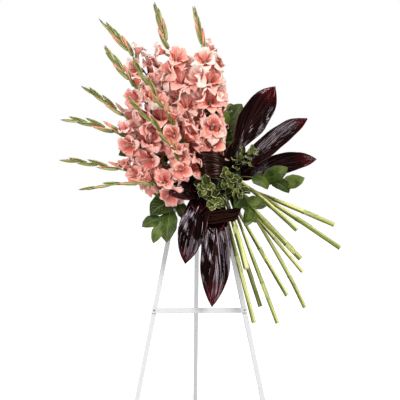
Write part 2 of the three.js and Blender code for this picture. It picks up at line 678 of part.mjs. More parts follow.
const ground = moved(box(4000, 4000, 1000), 0, 0, -500);
const boltHole = placed(
  rod(BOLT_HOLE_R, 200, 10),
  new THREE.Matrix4().makeRotationZ(Math.PI / 2).setPosition(0, 0, BOLT_HEIGHT)
);

// A square leg on the bolt, with a splay to the side and a lean, cut off flat at the ground.
function leg(headX, splay, lean, aboveBolt) {
  const long = BOLT_HEIGHT * 1.2;
  const stick = moved(box(LEG, LEG, long + aboveBolt), 0, 0, (aboveBolt - long) / 2);
  const stance = new THREE.Matrix4()
    .makeRotationX(lean)
    .multiply(new THREE.Matrix4().makeRotationY(splay))
    .setPosition(headX, 0, BOLT_HEIGHT);
  return placed(stick, stance).subtract(ground).subtract(boltHole);
}

// The rail lies on the front faces of the front legs, with a screw into each.
const railDrop = (BOLT_HEIGHT - RAIL_HEIGHT) / Math.cos(FRONT_LEAN);
const railFace = -LEG / 2 - TOUCH - RAIL_THICK;
const screwX = legOffset(railDrop);
const screwHole = rod(SCREW_HOLE_R, 2 * (RAIL_THICK + 12), 8);

function frontLeg(side) {
  const hole = placed(moved(screwHole, side * screwX, railFace, -railDrop), front.matrixWorld);
  return leg(side * HEAD_SPREAD, -side * legSplay, -FRONT_LEAN, FRONT_LEG_ABOVE_BOLT)
    .subtract(hole);
}

function rail() {
  const bar = moved(
    box(2 * (screwX + legHalf), RAIL_THICK, RAIL_WIDE), 0, RAIL_THICK / 2, 0);
  return bar
    .subtract(moved(screwHole, -screwX, 0, 0))
    .subtract(moved(screwHole, screwX, 0, 0));
}

// A pan-head screw whose head is at its origin, just off the rail.
function screw() {
  const long = RAIL_THICK + 10;
  const shank = moved(rod(SCREW_R, long, 8), 0, long / 2 - 1, 0);
  return shank.add(moved(rod(2 * SCREW_R, 1.6, 8), 0, -0.8 - TOUCH, 0));
}

// The bolt lies along X. Its head and nut clear the canted outer faces of the front legs.
const outerFace = HEAD_SPREAD + legHalf + WASHER_R * Math.tan(legSplay) + TOUCH;
const innerFace = LEG / 2 + TOUCH;

function pivotBolt() {
  const end = outerFace + WASHER_THICK + NUT_THICK + 3;
  const shank = moved(rod(BOLT_R, outerFace + end + 1, 10), 0, (end - outerFace - 1) / 2, 0);
  return shank.add(moved(rod(NUT_R, NUT_THICK, 6), 0, -outerFace - NUT_THICK / 2, 0));
}

const nut = () => rod(NUT_R, NUT_THICK, 6).subtract(rod(BOLT_HOLE_R, 20, 10));
const washer = () => rod(WASHER_R, WASHER_THICK, 12).subtract(rod(BOLT_HOLE_R, 20, 10));

// The whole spray

const spray = new THREE.Group();
spray.add(front);
const add = (group, name, solid, look, x = 0, y = 0, z = 0) => {
  const mesh = meshOf(name, solid, look);
  mesh.position.set(x, y, z);
  group.add(mesh);
};

add(spray, "easel_leg_left", frontLeg(-1), WHITE_PAINT);
add(spray, "easel_leg_right", frontLeg(1), WHITE_PAINT);
add(spray, "easel_leg_rear", leg(0, 0, REAR_LEAN, REAR_LEG_ABOVE_BOLT), WHITE_PAINT);
add(front, "easel_rail", rail(), WHITE_PAINT, 0, railFace, -railDrop);
add(front, "rail_screw_left", screw(), ZINC, -screwX, railFace, -railDrop);
add(front, "rail_screw_right", screw(), ZINC, screwX, railFace, -railDrop);

const pivot = new THREE.Group();
pivot.position.z = BOLT_HEIGHT;
pivot.rotation.z = -Math.PI / 2;
spray.add(pivot);
add(pivot, "pivot_bolt", pivotBolt(), ZINC);
add(pivot, "pivot_nut", nut(), ZINC, 0, outerFace + WASHER_THICK + TOUCH + NUT_THICK / 2);
add(pivot, "washer_outer", washer(), ZINC, 0, outerFace + WASHER_THICK / 2);
add(pivot, "washer_left", washer(), ZINC, 0, -innerFace - WASHER_THICK / 2);
add(pivot, "washer_right", washer(), ZINC, 0, innerFace + WASHER_THICK / 2);

const inHolder = holderPlace.clone().invert();
const holes = plants
  .map(({ hole }) => placed(hole, inHolder))
  .filter((hole) => touches(hole, foamBlock));
add(front, "foam_tray", tray(), TRAY_PLASTIC, HOLDER_X, 0, -HOLDER_DROP);
add(front, "foam_block", foam(holes), FOAM_GREEN, HOLDER_X, 0, -HOLDER_DROP);
for (const [name, side] of [["wire_tie_left", -1], ["wire_tie_right", 1]])
  add(front, name, wireTie(), ZINC, side * legOffset(HOLDER_DROP), 0, -HOLDER_DROP);

for (const { name, solid, look } of plants) add(spray, name, solid, look);

const bounds = new THREE.Box3().setFromObject(spray);
const middle = bounds.getCenter(vec(0, 0, 0));
spray.position.set(-middle.x, -middle.y, -bounds.min.z);

export default spray;
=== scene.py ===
"""The looks of a standing funeral spray, built round its packed construction model.

Tables are in millimetres, from the point on the floor right below the easel's bolt, as the
construction model's are. Every piece is placed in metres in the model's own frame.
"""

import json
import math
from dataclasses import dataclass

import bpy
import numpy as np
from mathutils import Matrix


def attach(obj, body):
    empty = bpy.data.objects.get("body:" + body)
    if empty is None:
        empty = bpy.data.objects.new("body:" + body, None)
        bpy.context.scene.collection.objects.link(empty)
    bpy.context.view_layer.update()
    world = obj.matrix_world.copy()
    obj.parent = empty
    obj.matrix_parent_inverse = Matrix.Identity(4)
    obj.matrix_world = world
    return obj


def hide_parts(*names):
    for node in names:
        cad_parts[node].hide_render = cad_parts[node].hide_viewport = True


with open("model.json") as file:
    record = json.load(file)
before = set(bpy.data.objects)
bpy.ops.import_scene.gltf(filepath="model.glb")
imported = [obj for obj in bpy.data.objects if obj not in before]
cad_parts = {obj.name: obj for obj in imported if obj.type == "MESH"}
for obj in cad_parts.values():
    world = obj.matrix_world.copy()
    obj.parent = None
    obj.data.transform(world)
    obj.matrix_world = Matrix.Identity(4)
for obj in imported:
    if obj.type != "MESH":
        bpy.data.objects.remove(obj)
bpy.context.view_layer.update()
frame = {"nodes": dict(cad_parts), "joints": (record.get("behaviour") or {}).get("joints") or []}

MM = 0.001
BOLT = np.array(frame["joints"][0]["pos_m"])
FLOOR_UNDER_BOLT = np.array([BOLT[0], BOLT[1], 0.0])
FRONT = "front_frame"  # the body that carries every plant

# The photograph's view: level, from a little to the left, with a long lens.
CAMERA_MM = (-124, -4150, 1044)
AIM_MM = (3, -150, 1044)
LENS = 90

# Sizes shared with the construction model
FLORET_R = 54
TUBE_LENGTH = 25
STEM_ROOT_R = 5.5
STEM_TIP_R = 1.4
SPIKE_SHARE, TWIG_SHARE = 0.88, 0.85  # radii of stems and twigs against the construction's
PETAL_THICK = 0.5
LEAF_THICK = 0.8

TO_VIEWER = (0, -1, 0.01)  # a touch off the axis, so that no stem lies along it
PHASE = 6.3  # a whole turn, for waves that may start anywhere
SIDE_VEINS = 52  # how close a leaf's side veins follow each other
VEIN_SLANT = 0.28


def to_frame(points):
    """Millimetres from below the bolt, as metres in the model's frame."""
    return np.asarray(points) * MM + FLOOR_UNDER_BOLT


def added(name, data):
    """A new object in the scene."""
    made = bpy.data.objects.new(name, data)
    bpy.context.scene.collection.objects.link(made)
    return made


def camera():
    data = bpy.data.cameras.new("camera")
    data.lens = LENS
    data.sensor_width = 36
    data.clip_end = 100
    eye = added("camera", data)
    place, aim = to_frame(CAMERA_MM), to_frame(AIM_MM)
    eye.location = place
    eye.rotation_euler = (math.pi / 2, 0, -math.atan2(aim[0] - place[0], aim[1] - place[1]))
    bpy.context.scene.camera = eye


camera()


# Numbers and curves

def chance(a, b):
    """A repeatable number from 0 to 1 for each pair of seeds."""
    n = math.sin(a * 127.1 + b * 311.7) * 43758.5453
    return n - math.floor(n)


def mix(a, b, t):
    return a + (b - a) * t


def smooth(low, high, x):
    """0 below low, 1 above high, and an even slope between."""
    t = np.clip((x - low) / (high - low), 0, 1)
    return t * t * (3 - 2 * t)


def unit(v):
    return v / np.maximum(np.linalg.norm(v, axis=-1, keepdims=True), 1e-9)


def square_to(tangent, wish):
    """Two directions square to a tangent, the first as near as it can be to a wished one."""
    wish = np.broadcast_to(wish, tangent.shape)
    u = unit(wish - tangent * np.sum(wish * tangent, axis=-1, keepdims=True))
    return u, np.cross(tangent, u)


class Bow:
    """A curve from root to tip with its middle pushed aside, walked by its length."""

    def __init__(self, root, tip, bow):
        self.a, self.c = np.array(root, float), np.array(tip, float)
        self.b = (self.a + self.c) / 2 + 2 * np.array(bow, float)
        self.t = np.linspace(0, 1, 201)
        steps = np.linalg.norm(np.diff(self._point(self.t), axis=0), axis=1)
        walked = np.concatenate([[0], np.cumsum(steps)])
        self.length = walked[-1]
        self.walked = walked / walked[-1]

    def _point(self, t):
        t = t[..., None]
        return (1 - t) ** 2 * self.a + 2 * t * (1 - t) * self.b + t * t * self.c

    def at(self, share):
        return self._point(np.interp(share, self.walked, self.t))

    def along(self, share):
        t = np.interp(share, self.walked, self.t)[..., None]
        return unit((1 - t) * (self.b - self.a) + t * (self.c - self.b))


def through(stations, count):
    """A smooth run of count rows through a list of rows of numbers."""
    rows = np.array(stations, float)
    padded = np.vstack([2 * rows[0] - rows[1], rows, 2 * rows[-1] - rows[-2]])
    place = np.linspace(0, len(rows) - 1, count)
    k = np.minimum(place.astype(int), len(rows) - 2)
    t = (place - k)[:, None]
    p0, p1, p2, p3 = (padded[k + i] for i in range(4))
    return 0.5 * (2 * p1 + (p2 - p0) * t + (2 * p0 - 5 * p1 + 4 * p2 - p3) * t * t
                  + (3 * p1 - p0 - 3 * p2 + p3) * t ** 3)


def around(centres, u, v, angle, reach, flat=1.0):
    """Points at angles round a line, in the plane of two directions."""
    return (centres[:, None] + u[:, None] * (np.cos(angle) * reach)[..., None]
            + v[:, None] * (np.sin(angle) * reach * flat)[..., None])


def normals(grid):
    """The directions square to a sheet of points."""
    return unit(np.cross(*np.gradient(grid, axis=(0, 1))))


# Meshes. Each point carries four painted values that the materials read.

def painting(s, v, tint, extra):
    """A grid's painted values: its place along and across, from 0 to 1, and two of its own."""
    along, across = np.reshape(s, (-1, 1)), (v + 1) / 2
    return np.stack(np.broadcast_arrays(along, across, tint, extra), -1)


class Skin:
    """Points, faces and painted values that become one piece."""

    def __init__(self):
        self.points, self.paint, self.faces, self.looks = [], [], [], []
        self.count = 0

    def add(self, points, paint, faces, looks):
        """Each group of faces is rows of point numbers, and has its own look."""
        for group, look in zip(faces, looks):
            self.faces += (group + self.count).tolist()
            self.looks += [look] * len(group)
        self.points.append(points)
        self.paint.append(paint)
        self.count += len(points)

    def slab(self, grid, thick, paint, back_paint=None, look=0):
        """A thin closed sheet through a grid of points."""
        half = normals(grid) * thick / 2
        rows, columns = grid.shape[:2]
        ids = np.arange(rows * columns).reshape(rows, columns)
        quads = np.stack([ids[:-1, :-1], ids[1:, :-1], ids[1:, 1:], ids[:-1, 1:]], -1).reshape(-1, 4)
        loop = np.concatenate([ids[:-1, 0], ids[-1, :-1], ids[:0:-1, -1], ids[0, :0:-1]])
        after = np.roll(loop, -1)
        under = rows * columns
        rim = np.stack([loop, loop + under, after + under, after], -1)
        points = np.stack([grid + half, grid - half]).reshape(-1, 3)
        values = np.stack([paint, paint if back_paint is None else back_paint]).reshape(-1, 4)
        self.add(points, values, [quads, quads[:, ::-1] + under, rim], [look] * 3)

    def tube(self, centres, radii, sides, paint, look=0, wish=TO_VIEWER, end_look=None,
             shape=None):
        """A closed tube along points. shape(angle, share) scales its section.

        paint is its tint and its fourth value, each one number or one for every ring.
        """
        n = len(centres)
        u, v = square_to(unit(np.gradient(centres, axis=0)), wish)
        angle = np.arange(sides) / sides * 2 * math.pi
        radii = np.broadcast_to(radii, n)[:, None] * np.ones(sides)
        share = np.linspace(0, 1, n)
        if shape is not None:
            radii = radii * shape(angle[None, :], share[:, None])
        rings = around(centres, u, v, angle, radii)
        ids = np.arange(n * sides).reshape(n, sides)
        side = np.roll(ids, -1, 1)
        walls = np.stack([ids[:-1], side[:-1], side[1:], ids[1:]], -1).reshape(-1, 4)
        tint, extra = (np.reshape(value, (-1, 1)) for value in paint)
        painted = painting(share, 2 * np.abs(angle / math.pi - 1) - 1, tint, extra)
        first, last = n * sides, n * sides + 1
        start = np.stack([np.full(sides, first), side[0], ids[0]], -1)
        end = np.stack([np.full(sides, last), ids[-1], side[-1]], -1)
        points = np.concatenate([rings.reshape(-1, 3), centres[[0, -1]]])
        values = np.concatenate([painted.reshape(-1, 4), painted[[0, -1], 0]])
        end_look = look if end_look is None else end_look
        self.add(points, values, [walls, start, end], [look, look, end_look])

    def piece(self, name, looks, body, slot, replaces):
        mesh = bpy.data.meshes.new(name)
        mesh.from_pydata(to_frame(np.concatenate(self.points)), [], self.faces, shade_flat=False)
        mesh.polygons.foreach_set("material_index", self.looks)
        painted = mesh.attributes.new("paint", "FLOAT_COLOR", "POINT")
        painted.data.foreach_set("color", np.concatenate(self.paint).astype(np.float32).ravel())
        mesh.validate()
        for look in looks:
            mesh.materials.append(look)
        made = added(name, mesh)
        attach(made, body)
        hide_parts(*replaces)


# Materials

class Graph:
    """Shader nodes, made and joined one by one."""

    def __init__(self, owner, kind):
        owner.use_nodes = True
        self.tree = owner.node_tree
        self.shader = next(n for n in self.tree.nodes if n.type == kind)

    def wire(self, node, values):
        """Gives sockets of a node their values, or links them to what feeds them."""
        for key, value in values.items():
            if isinstance(value, bpy.types.NodeSocket):
                self.tree.links.new(value, node.inputs[key])
            else:
                node.inputs[key].default_value = value

    def node(self, kind, values=None, **settings):
        made = self.tree.nodes.new("ShaderNode" + kind)
        for key, value in settings.items():
            setattr(made, key, value)
        self.wire(made, values or {})
        return made

    def math(self, operation, a, b=0.0, c=0.0):
        return self.node("Math", {0: a, 1: b, 2: c}, operation=operation).outputs[0]


class Look(Graph):
    """A material's nodes."""

    def __init__(self, name, roughness, **sockets):
        self.material = bpy.data.materials.new(name)
        super().__init__(self.material, "BSDF_PRINCIPLED")
        sockets["Roughness"] = roughness
        self.wire(self.shader, {key.replace("_", " "): sockets[key] for key in sockets})

    def times(self, a, b):
        return self.math("MULTIPLY", a, b)

    def spread(self, value, low, high):
        """A value from 0 to 1, as one from low to high."""
        return self.node("MapRange", {"Value": value, "To Min": low, "To Max": high}).outputs[0]

    def ease(self, value, low, high):
        return self.node("MapRange", {"Value": value, "From Min": low, "From Max": high},
                         interpolation_type="SMOOTHSTEP").outputs[0]

    def blend(self, share, a, b):
        a, b = ((*c, 1) if isinstance(c, tuple) else c for c in (a, b))
        return self.node("Mix", {0: share, 6: a, 7: b}, data_type="RGBA").outputs[2]

    def over(self, color, mask, weight, paint):
        """A colour with another laid over it where a mask is, at most at the given weight."""
        return self.blend(self.times(mask, weight), color, paint)

    def ramp(self, share, *stops):
        made = self.node("ValToRGB", {"Fac": share})
        row = made.color_ramp.elements
        while len(row) < len(stops):
            row.new(0.5)
        for element, (place, color) in zip(row, stops):
            element.position = place
            element.color = (*color, 1)
        return made.outputs["Color"]

    def painted(self):
        """Along, across, tint and the fourth painted value."""
        read = self.node("Attribute", attribute_name="paint")
        split = self.node("SeparateColor", {"Color": read.outputs["Color"]})
        return *split.outputs, read.outputs["Alpha"]

    def off_middle(self, across):
        """0 along a blade's middle and 1 at its edges."""
        return self.math("ABSOLUTE", self.math("MULTIPLY_ADD", across, 2, -1))

    def grain(self, detail, *axes):
        """Noise over painted values, each of them stretched by its own factor."""
        where = self.node("CombineXYZ", {i: self.times(*axes[i]) for i in range(3)}).outputs[0]
        made = self.node("TexNoise", {"Vector": where, "Scale": 1.0, "Detail": detail})
        return made.outputs["Fac"]

    def spots(self, scale, detail, stretch=(1, 1, 1)):
        where = self.node("TexCoord").outputs["Object"]
        moved = self.node("Mapping", {"Vector": where, "Scale": stretch}).outputs[0]
        made = self.node("TexNoise", {"Vector": moved, "Scale": scale, "Detail": detail})
        return made.outputs["Fac"]

    def done(self, color, height, strength, depth, rough=None):
        """The material, once it has its colour, its relief and, on some, an uneven gloss."""
        bump = self.node("Bump", {"Height": height, "Strength": strength, "Distance": depth})
        self.wire(self.shader, {"Base Color": color, "Normal": bump.outputs[0]})
        if rough is not None:
            self.wire(self.shader, {"Roughness": rough})
        return self.material


def petal_look():
    """Coral, deep in the throat and pale at the hem, streaked, and creamy where the tint is. The
    pale hem is partly a painted highlight, and a mauve blend paints shade.
    """
    look = Look("petal", 0.5, Subsurface_Weight=0.2, Subsurface_Radius=(0.012, 0.005, 0.004),
                Subsurface_Scale=0.6, Specular_IOR_Level=0.3)
    along, across, tint, tone = look.painted()
    side = look.off_middle(across)
    streak = look.grain(3, (across, 13), (along, 1.4), (tint, 40))
    body = look.ramp(along, (0.0, (0.48, 0.045, 0.028)), (0.2, (0.68, 0.11, 0.075)),
                     (0.45, (0.79, 0.205, 0.15)), (0.75, (0.83, 0.325, 0.25)),
                     (1.0, (0.87, 0.475, 0.385)))
    mauve = look.ramp(along, (0.0, (0.40, 0.07, 0.065)), (0.35, (0.66, 0.22, 0.21)),
                      (1.0, (0.80, 0.49, 0.48)))
    # Painted shade: a low fourth value blends the petals towards a darker mauve, for florets in
    # shade; it also varies a little at random.
    color = look.blend(look.ease(tone, 0.8, 0.0), body, mauve)
    color = look.over(color, look.ease(tint, 0.34, 0.0), 0.5, (0.66, 0.155, 0.115))
    cream = look.times(look.ease(tint, 0.5, 0.95), look.ease(along, 0.2, 0.7))
    color = look.over(color, cream, 0.88, (0.92, 0.75, 0.64))
    # The pale hem is partly the petals' own paler margin and partly a painted highlight on the
    # ruffled edges.
    hem = look.math("MAXIMUM", look.ease(side, 0.66, 1.0), look.ease(along, 0.82, 1.0))
    color = look.over(color, hem, 0.5, (0.89, 0.72, 0.63))
    dark = look.times(look.ease(streak, 0.5, 0.72), look.ease(along, 1.0, 0.3))
    color = look.over(color, dark, 0.7, (0.76, 0.12, 0.08))
    light = look.times(look.ease(streak, 0.48, 0.34), look.ease(along, 0.25, 0.7))
    color = look.over(color, light, 0.6, (0.93, 0.74, 0.66))
    color = look.over(color, look.ease(look.spots(26, 2), 0.55, 0.8), 0.35, (0.95, 0.50, 0.38))
    return look.done(color, streak, 0.35, 0.0012)


def green_look(name, dark, mid, light, roughness=0.45):
    """Stems: a painted highlight down the front between flanks in painted shade, broken by long
    stripes and dark joints.
    """
    look = Look(name, roughness, Specular_IOR_Level=0.4)
    along, across, tint, joint = look.painted()
    stripe = look.grain(2, (across, 5), (along, 3), (tint, 30))
    # Painted shade: lighter on the side that the across value faces, darker down the flanks.
    painted_shading = look.math("MULTIPLY_ADD", stripe, 0.7, look.times(across, 0.65))
    color = look.ramp(painted_shading, (0.66, dark), (0.84, mid), (1.0, light))
    color = look.over(color, look.ease(look.spots(9, 2), 0.5, 0.75), 0.4, mid)
    color = look.over(color, look.ease(joint, 0.0, 1.0), 0.75, dark)
    return look.done(color, stripe, 0.15, 0.0006)


def bract_look():
    """Striped green, with a painted highlight down the keel, a brown hem and, on some, a blush
    towards the tip.
    """
    look = Look("bract", 0.42, Specular_IOR_Level=0.4)
    along, across, tint, _ = look.painted()
    side = look.off_middle(across)
    stripe = look.grain(2, (across, 12), (along, 0.8), (tint, 30))
    color = look.ramp(look.ease(stripe, 0.3, 0.7), (0.0, (0.035, 0.046, 0.006)),
                      (0.5, (0.16, 0.19, 0.03)), (1.0, (0.60, 0.60, 0.24)))
    hem = look.math("MAXIMUM", look.ease(side, 0.74, 1.0), look.ease(along, 0.78, 1.0))
    color = look.over(color, hem, 0.8, (0.045, 0.028, 0.008))
    blush = look.times(look.ease(tint, 0.6, 1.0), look.ease(along, 0.1, 0.8))
    color = look.over(color, blush, 0.55, (0.50, 0.16, 0.08))
    # Painted highlight: the middle of each bract, along its keel, is painted pale.
    color = look.over(color, look.ease(side, 0.16, 0.0), 0.6, (0.62, 0.64, 0.28))
    return look.done(color, stripe, 0.4, 0.0008)


def ti_look(name, coat, shine, sheen, rough, dark, mid, light, tip):
    """Near-black leaf with fine slanting veins, a thin red margin and a wine-red tip."""
    look = Look(name, rough[0], Coat_Weight=coat, Coat_Roughness=0.09, Specular_IOR_Level=shine,
                Specular_Tint=(*sheen, 1), Coat_Tint=(0.95, 0.90, 1.0, 1))
    along, across, tint, _ = look.painted()
    side = look.off_middle(across)
    slant = look.math("SUBTRACT", look.times(side, 11), look.times(along, 10))
    axes = (slant, 1), (side, 0.8), (tint, 50)
    vein, ridge = look.grain(3, *axes), look.grain(0.4, *axes)
    broad = look.spots(9, 2)
    color = look.ramp(look.ease(vein, 0.3, 0.75), (0.0, dark), (0.55, mid), (1.0, light))
    end = look.ease(look.math("ADD", along, look.times(broad, 0.35)), 0.88, 1.25)
    color = look.blend(end, color, tip)
    color = look.over(color, look.ease(side, 0.93, 1.0), 0.6, (0.10, 0.016, 0.020))
    color = look.over(color, look.ease(side, 0.045, 0.0), 0.5, (0.05, 0.016, 0.020))
    return look.done(color, ridge, 0.9, 0.0046, look.spread(broad, *rough))


def leaf_look(name, dark, mid, light, under, vein_color, roughness, hem=None):
    """A broad leaf with a pale midrib, side veins, a duller underside and perhaps a hem."""
    look = Look(name, roughness, Specular_IOR_Level=0.24)
    along, across, tint, top = look.painted()
    side = look.off_middle(across)
    slant = look.math("SUBTRACT", along, look.times(side, VEIN_SLANT))
    wave = look.math("SINE", look.times(slant, SIDE_VEINS))
    vein = look.times(look.ease(wave, 0.86, 1.0), look.ease(side, 1.0, 0.75))
    rib = look.math("MAXIMUM", look.ease(side, 0.06, 0.01), look.times(vein, 0.5))
    cloud = look.spots(30, 3)
    shade = look.math("ADD", look.times(cloud, 0.7), look.times(tint, 0.5))
    color = look.ramp(look.ease(shade, 0.3, 0.9), (0.0, dark), (0.5, mid), (1.0, light))
    color = look.over(color, rib, 0.75, vein_color)
    if hem is not None:
        ragged = look.grain(2, (along, 9), (across, 3), (tint, 30))
        reach = look.math("ADD", look.math("MAXIMUM", side, look.ease(along, 0.5, 1.12)),
                          look.times(ragged, 0.42))
        color = look.blend(look.ease(reach, 1.08, 1.16), color, hem)
    color = look.blend(look.ease(top, 1.0, 0.0), color, under)
    height = look.math("SUBTRACT", look.times(cloud, 0.3), rib)
    return look.done(color, height, 0.5, 0.0009)


def plain_look(name, color, roughness, scale, spread=0.25, bump=0.2, stretch=(1, 1, 1),
               **sockets):
    """One colour with a fine mottle, for small or hidden things."""
    look = Look(name, roughness, **sockets)
    spots = look.spots(scale, 4, stretch)
    dark = tuple(c * (1 - spread) for c in color)
    light = tuple(min(1.0, c * (1 + spread)) for c in color)
    rough = look.spread(spots, roughness * 0.8, min(1.0, roughness * 1.25))
    return look.done(look.ramp(spots, (0.3, dark), (0.7, light)), spots, bump, 0.0006, rough)


PETAL = petal_look()
BRACT = bract_look()
SPIKE_STEM = green_look("spike_stem", (0.06, 0.10, 0.015), (0.14, 0.21, 0.035),
                        (0.27, 0.34, 0.07))
CUT_STEM = green_look("cut_stem", (0.045, 0.070, 0.008), (0.25, 0.285, 0.045),
                      (0.68, 0.64, 0.26), 0.35)
PITH = plain_look("pith", (0.55, 0.56, 0.30), 0.7, 900, 0.3)
SHEATH = plain_look("dry_sheath", (0.36, 0.37, 0.11), 0.5, 300, 0.3, 0.3, (1, 1, 0.2))
ANTHER = plain_look("anther", (0.62, 0.46, 0.48), 0.7, 1500)
BUD = plain_look("bud_petal", (0.62, 0.24, 0.15), 0.45, 60, 0.35, 0.3, (1, 1, 0.3))
FILAMENT = plain_look("filament", (0.85, 0.66, 0.60), 0.5, 800, 0.1)
TI = ti_look("ti_leaf", 0.06, 0.40, (1.0, 0.84, 0.95), (0.05, 0.13),
             (0.002, 0.0007, 0.0009), (0.008, 0.0022, 0.002), (0.024, 0.007, 0.0055),
             (0.07, 0.0035, 0.005))
TI_UNDER = ti_look("ti_leaf_underside", 0.0, 0.16, (1.0, 0.70, 0.60), (0.17, 0.30),
                   (0.002, 0.0006, 0.0005), (0.011, 0.003, 0.0018), (0.036, 0.011, 0.006),
                   (0.02, 0.0035, 0.0035))
SALAL = leaf_look("salal_leaf", (0.012, 0.023, 0.003), (0.040, 0.066, 0.008),
                  (0.105, 0.140, 0.024), (0.12, 0.14, 0.045), (0.17, 0.20, 0.055), 0.42)
PITTOSPORUM = leaf_look("pittosporum_leaf", (0.011, 0.018, 0.002), (0.042, 0.060, 0.005),
                        (0.14, 0.16, 0.016), (0.10, 0.12, 0.035), (0.22, 0.24, 0.05), 0.45,
                        (0.64, 0.63, 0.32))
TWIG = plain_look("twig", (0.16, 0.13, 0.05), 0.6, 400, 0.35)


# Gladiolus

TEPALS = 6
TEPAL_ROWS, TEPAL_COLUMNS = 13, 11
TEPAL_WIDEST = 0.54  # where a petal is widest, as a share of its length
TEPAL_HALF = 0.5  # half its width there, as a share of the floret's radius
PALE_HEIGHTS = (1140, 1560)  # petals get paler from one height to the other
STAMEN_LENGTHS, STYLE_LENGTH = (40, 46), 56  # beyond the tube
ANTHER_RADII = [0.3, 1.0, 1.15, 1.1, 0.9, 0.2]
STIGMA_RADII = [0.4, 0.6, 0.8, 0.9, 0.3]


def tepal(skin, lobe, size, spread, seed, pale, tone, place):
    """One of a floret's six petals, from the throat out over the funnel's edge."""
    s, v = np.linspace(0, 1, TEPAL_ROWS)[:, None], np.linspace(-1, 1, TEPAL_COLUMNS)
    (flared, curled, widened, twisted, slid, waved, rippled, tipped, tinted, raised, hollowed,
     ruffled) = (chance(seed + 0.37 * k, lobe + 1) for k in range(12))
    middle = math.radians(lobe * 360 / TEPALS)
    hood = math.cos(middle)
    inner = lobe % 2 == 0

    # The middle line: its distance from the floret's axis, and its height
    out = 0.1 + 0.97 * s
    reach = 0.72 - 1.125 * (0.93 - out) ** 2
    flare = size * spread * (0.93 if inner else 1.05) * mix(0.92, 1.08, flared)
    r = FLORET_R * out * flare * (1 - 0.14 * hood * reach)
    full = FLORET_R * size
    rise = reach * (1.08 if inner else 0.96) * (1 + 0.24 * hood) * (2 - spread)
    z = TUBE_LENGTH + full * rise
    curl = mix(0.0, 0.44, curled) * spread
    z = z - full * curl * smooth(0.55, 1, s) ** 2 + full * 0.34 * (raised - 0.5) * s

    # The width, as an angle round the axis
    opening = smooth(0, TEPAL_WIDEST, s)
    past = np.clip((s - TEPAL_WIDEST) / (1 - TEPAL_WIDEST), 0, 1)
    rounding = np.maximum(1 - past ** 2, 0.004) ** (0.9 if inner else 1.2)
    wide = mix(0.09, TEPAL_HALF * (1.1 if inner else 0.92) * mix(0.86, 1.12, widened), opening)
    half = full * np.where(s > TEPAL_WIDEST, wide * rounding, wide)
    half = half * (1 + 0.05 * np.sin(17 * s + PHASE * hollowed) * np.sign(v) * v * v)
    angle = middle + np.minimum(half / r, 1.1) * v + mix(-0.12, 0.12, twisted) * s

    # The relief: ruffled edges, fine pleats, a keel and a trough on each side of it
    slope_r, slope_z = np.gradient(r, axis=0), np.gradient(z, axis=0)
    steep = np.hypot(slope_r, slope_z)
    edge = np.abs(v) ** 2 * smooth(0.15, 0.7, s)
    tip = smooth(0.68, 1, s) * (1 - 0.4 * v * v)
    side = np.sign(v) * mix(0.8, 2.2, slid)
    ruffle = edge * (mix(3.4, 7.2, ruffled) * np.sin(15 * s + side + PHASE * waved)
                     + 1.5 * np.sin(25 * s - 2 * side + PHASE * rippled))
    ruffle = ruffle + tip * 2.8 * np.sin(7 * v + PHASE * tipped)
    pleat = 0.6 * np.cos(10 * v) * smooth(0.1, 0.5, s) * (1.1 - s)
    trough = 2.4 * (1 - v * v) * smooth(0.1, 0.5, s) * mix(-0.3, 1, hollowed)
    keel = 1.6 * np.exp(-(v / 0.16) ** 2) * smooth(0.05, 0.4, s) * (1 - 0.7 * s)
    lift = size * (ruffle + pleat - keel - trough) + (0.9 if inner else -0.9) * (1 + v * v)
    lift = lift * np.minimum(1, 0.25 + 1.5 * s)
    r, z = r - slope_z / steep * lift, z + slope_r / steep * lift
    grid = np.stack([r * np.cos(angle), r * np.sin(angle), z], -1)
    skin.slab(place(grid), PETAL_THICK, painting(s, v, tinted * pale, tone))


def stamens(skin, size, seed, place):
    """Three stamens and a longer style that arch under the hood."""
    def thread(line, steps, radii, look=1):
        skin.tube(place(line.at(np.linspace(0, 1, steps))), radii, 6, (0.5, 0.0), look)

    for k, side in enumerate((-1, 0, 1)):
        top = TUBE_LENGTH + size * mix(*STAMEN_LENGTHS, chance(seed, 60 + k))
        thread(Bow((1.5, side * 2, TUBE_LENGTH), (11, side * 6, top), (-1.5, 0, 3)), 8, 0.55)
        anther = Bow((11, side * 6, top - 5), (13, side * 6, top + 6), (0, 0, 0))
        thread(anther, 6, ANTHER_RADII, 2)
    style = Bow((0, 0, TUBE_LENGTH), (9, 0, TUBE_LENGTH + STYLE_LENGTH * size), (-2, 0, 3))
    thread(style, 8, 0.5)
    top = style.at(1.0)
    for k in range(3):
        turn = k * 2 * math.pi / 3
        end = top + np.array([3 * math.cos(turn) + 1, 3 * math.sin(turn), 4])
        thread(Bow(top, end, (0, 0, -0.6)), 5, STIGMA_RADII)


def floret(skin, origin, heading, wish, size, spread, seed, tone):
    """An open flower: petals, a tube down to the stem, and stamens."""
    u, v = square_to(heading, wish)
    basis = np.array([u, v, heading])

    def place(points):
        return points @ basis + origin

    pale = mix(0.3, 1.45, smooth(*PALE_HEIGHTS, origin[2]))
    for lobe in range(TEPALS):
        tepal(skin, lobe, size, spread, seed, pale, tone, place)
    share = np.linspace(0, 1, 8)
    line = place(np.stack([share * 0, share * 0, share * (TUBE_LENGTH + 8)], -1))
    skin.tube(line, mix(2.2, 5.2 * size, share ** 0.8), 12, (0.3, tone))
    stamens(skin, size, seed, place)


def arched(origin, heading, tangent, length, s, arch):
    """Points along a heading that bend towards the stem's tip."""
    pull = tangent - heading * np.dot(tangent, heading)
    return origin + heading * (length * s)[:, None] + pull * (arch * length * s ** 2)[:, None]


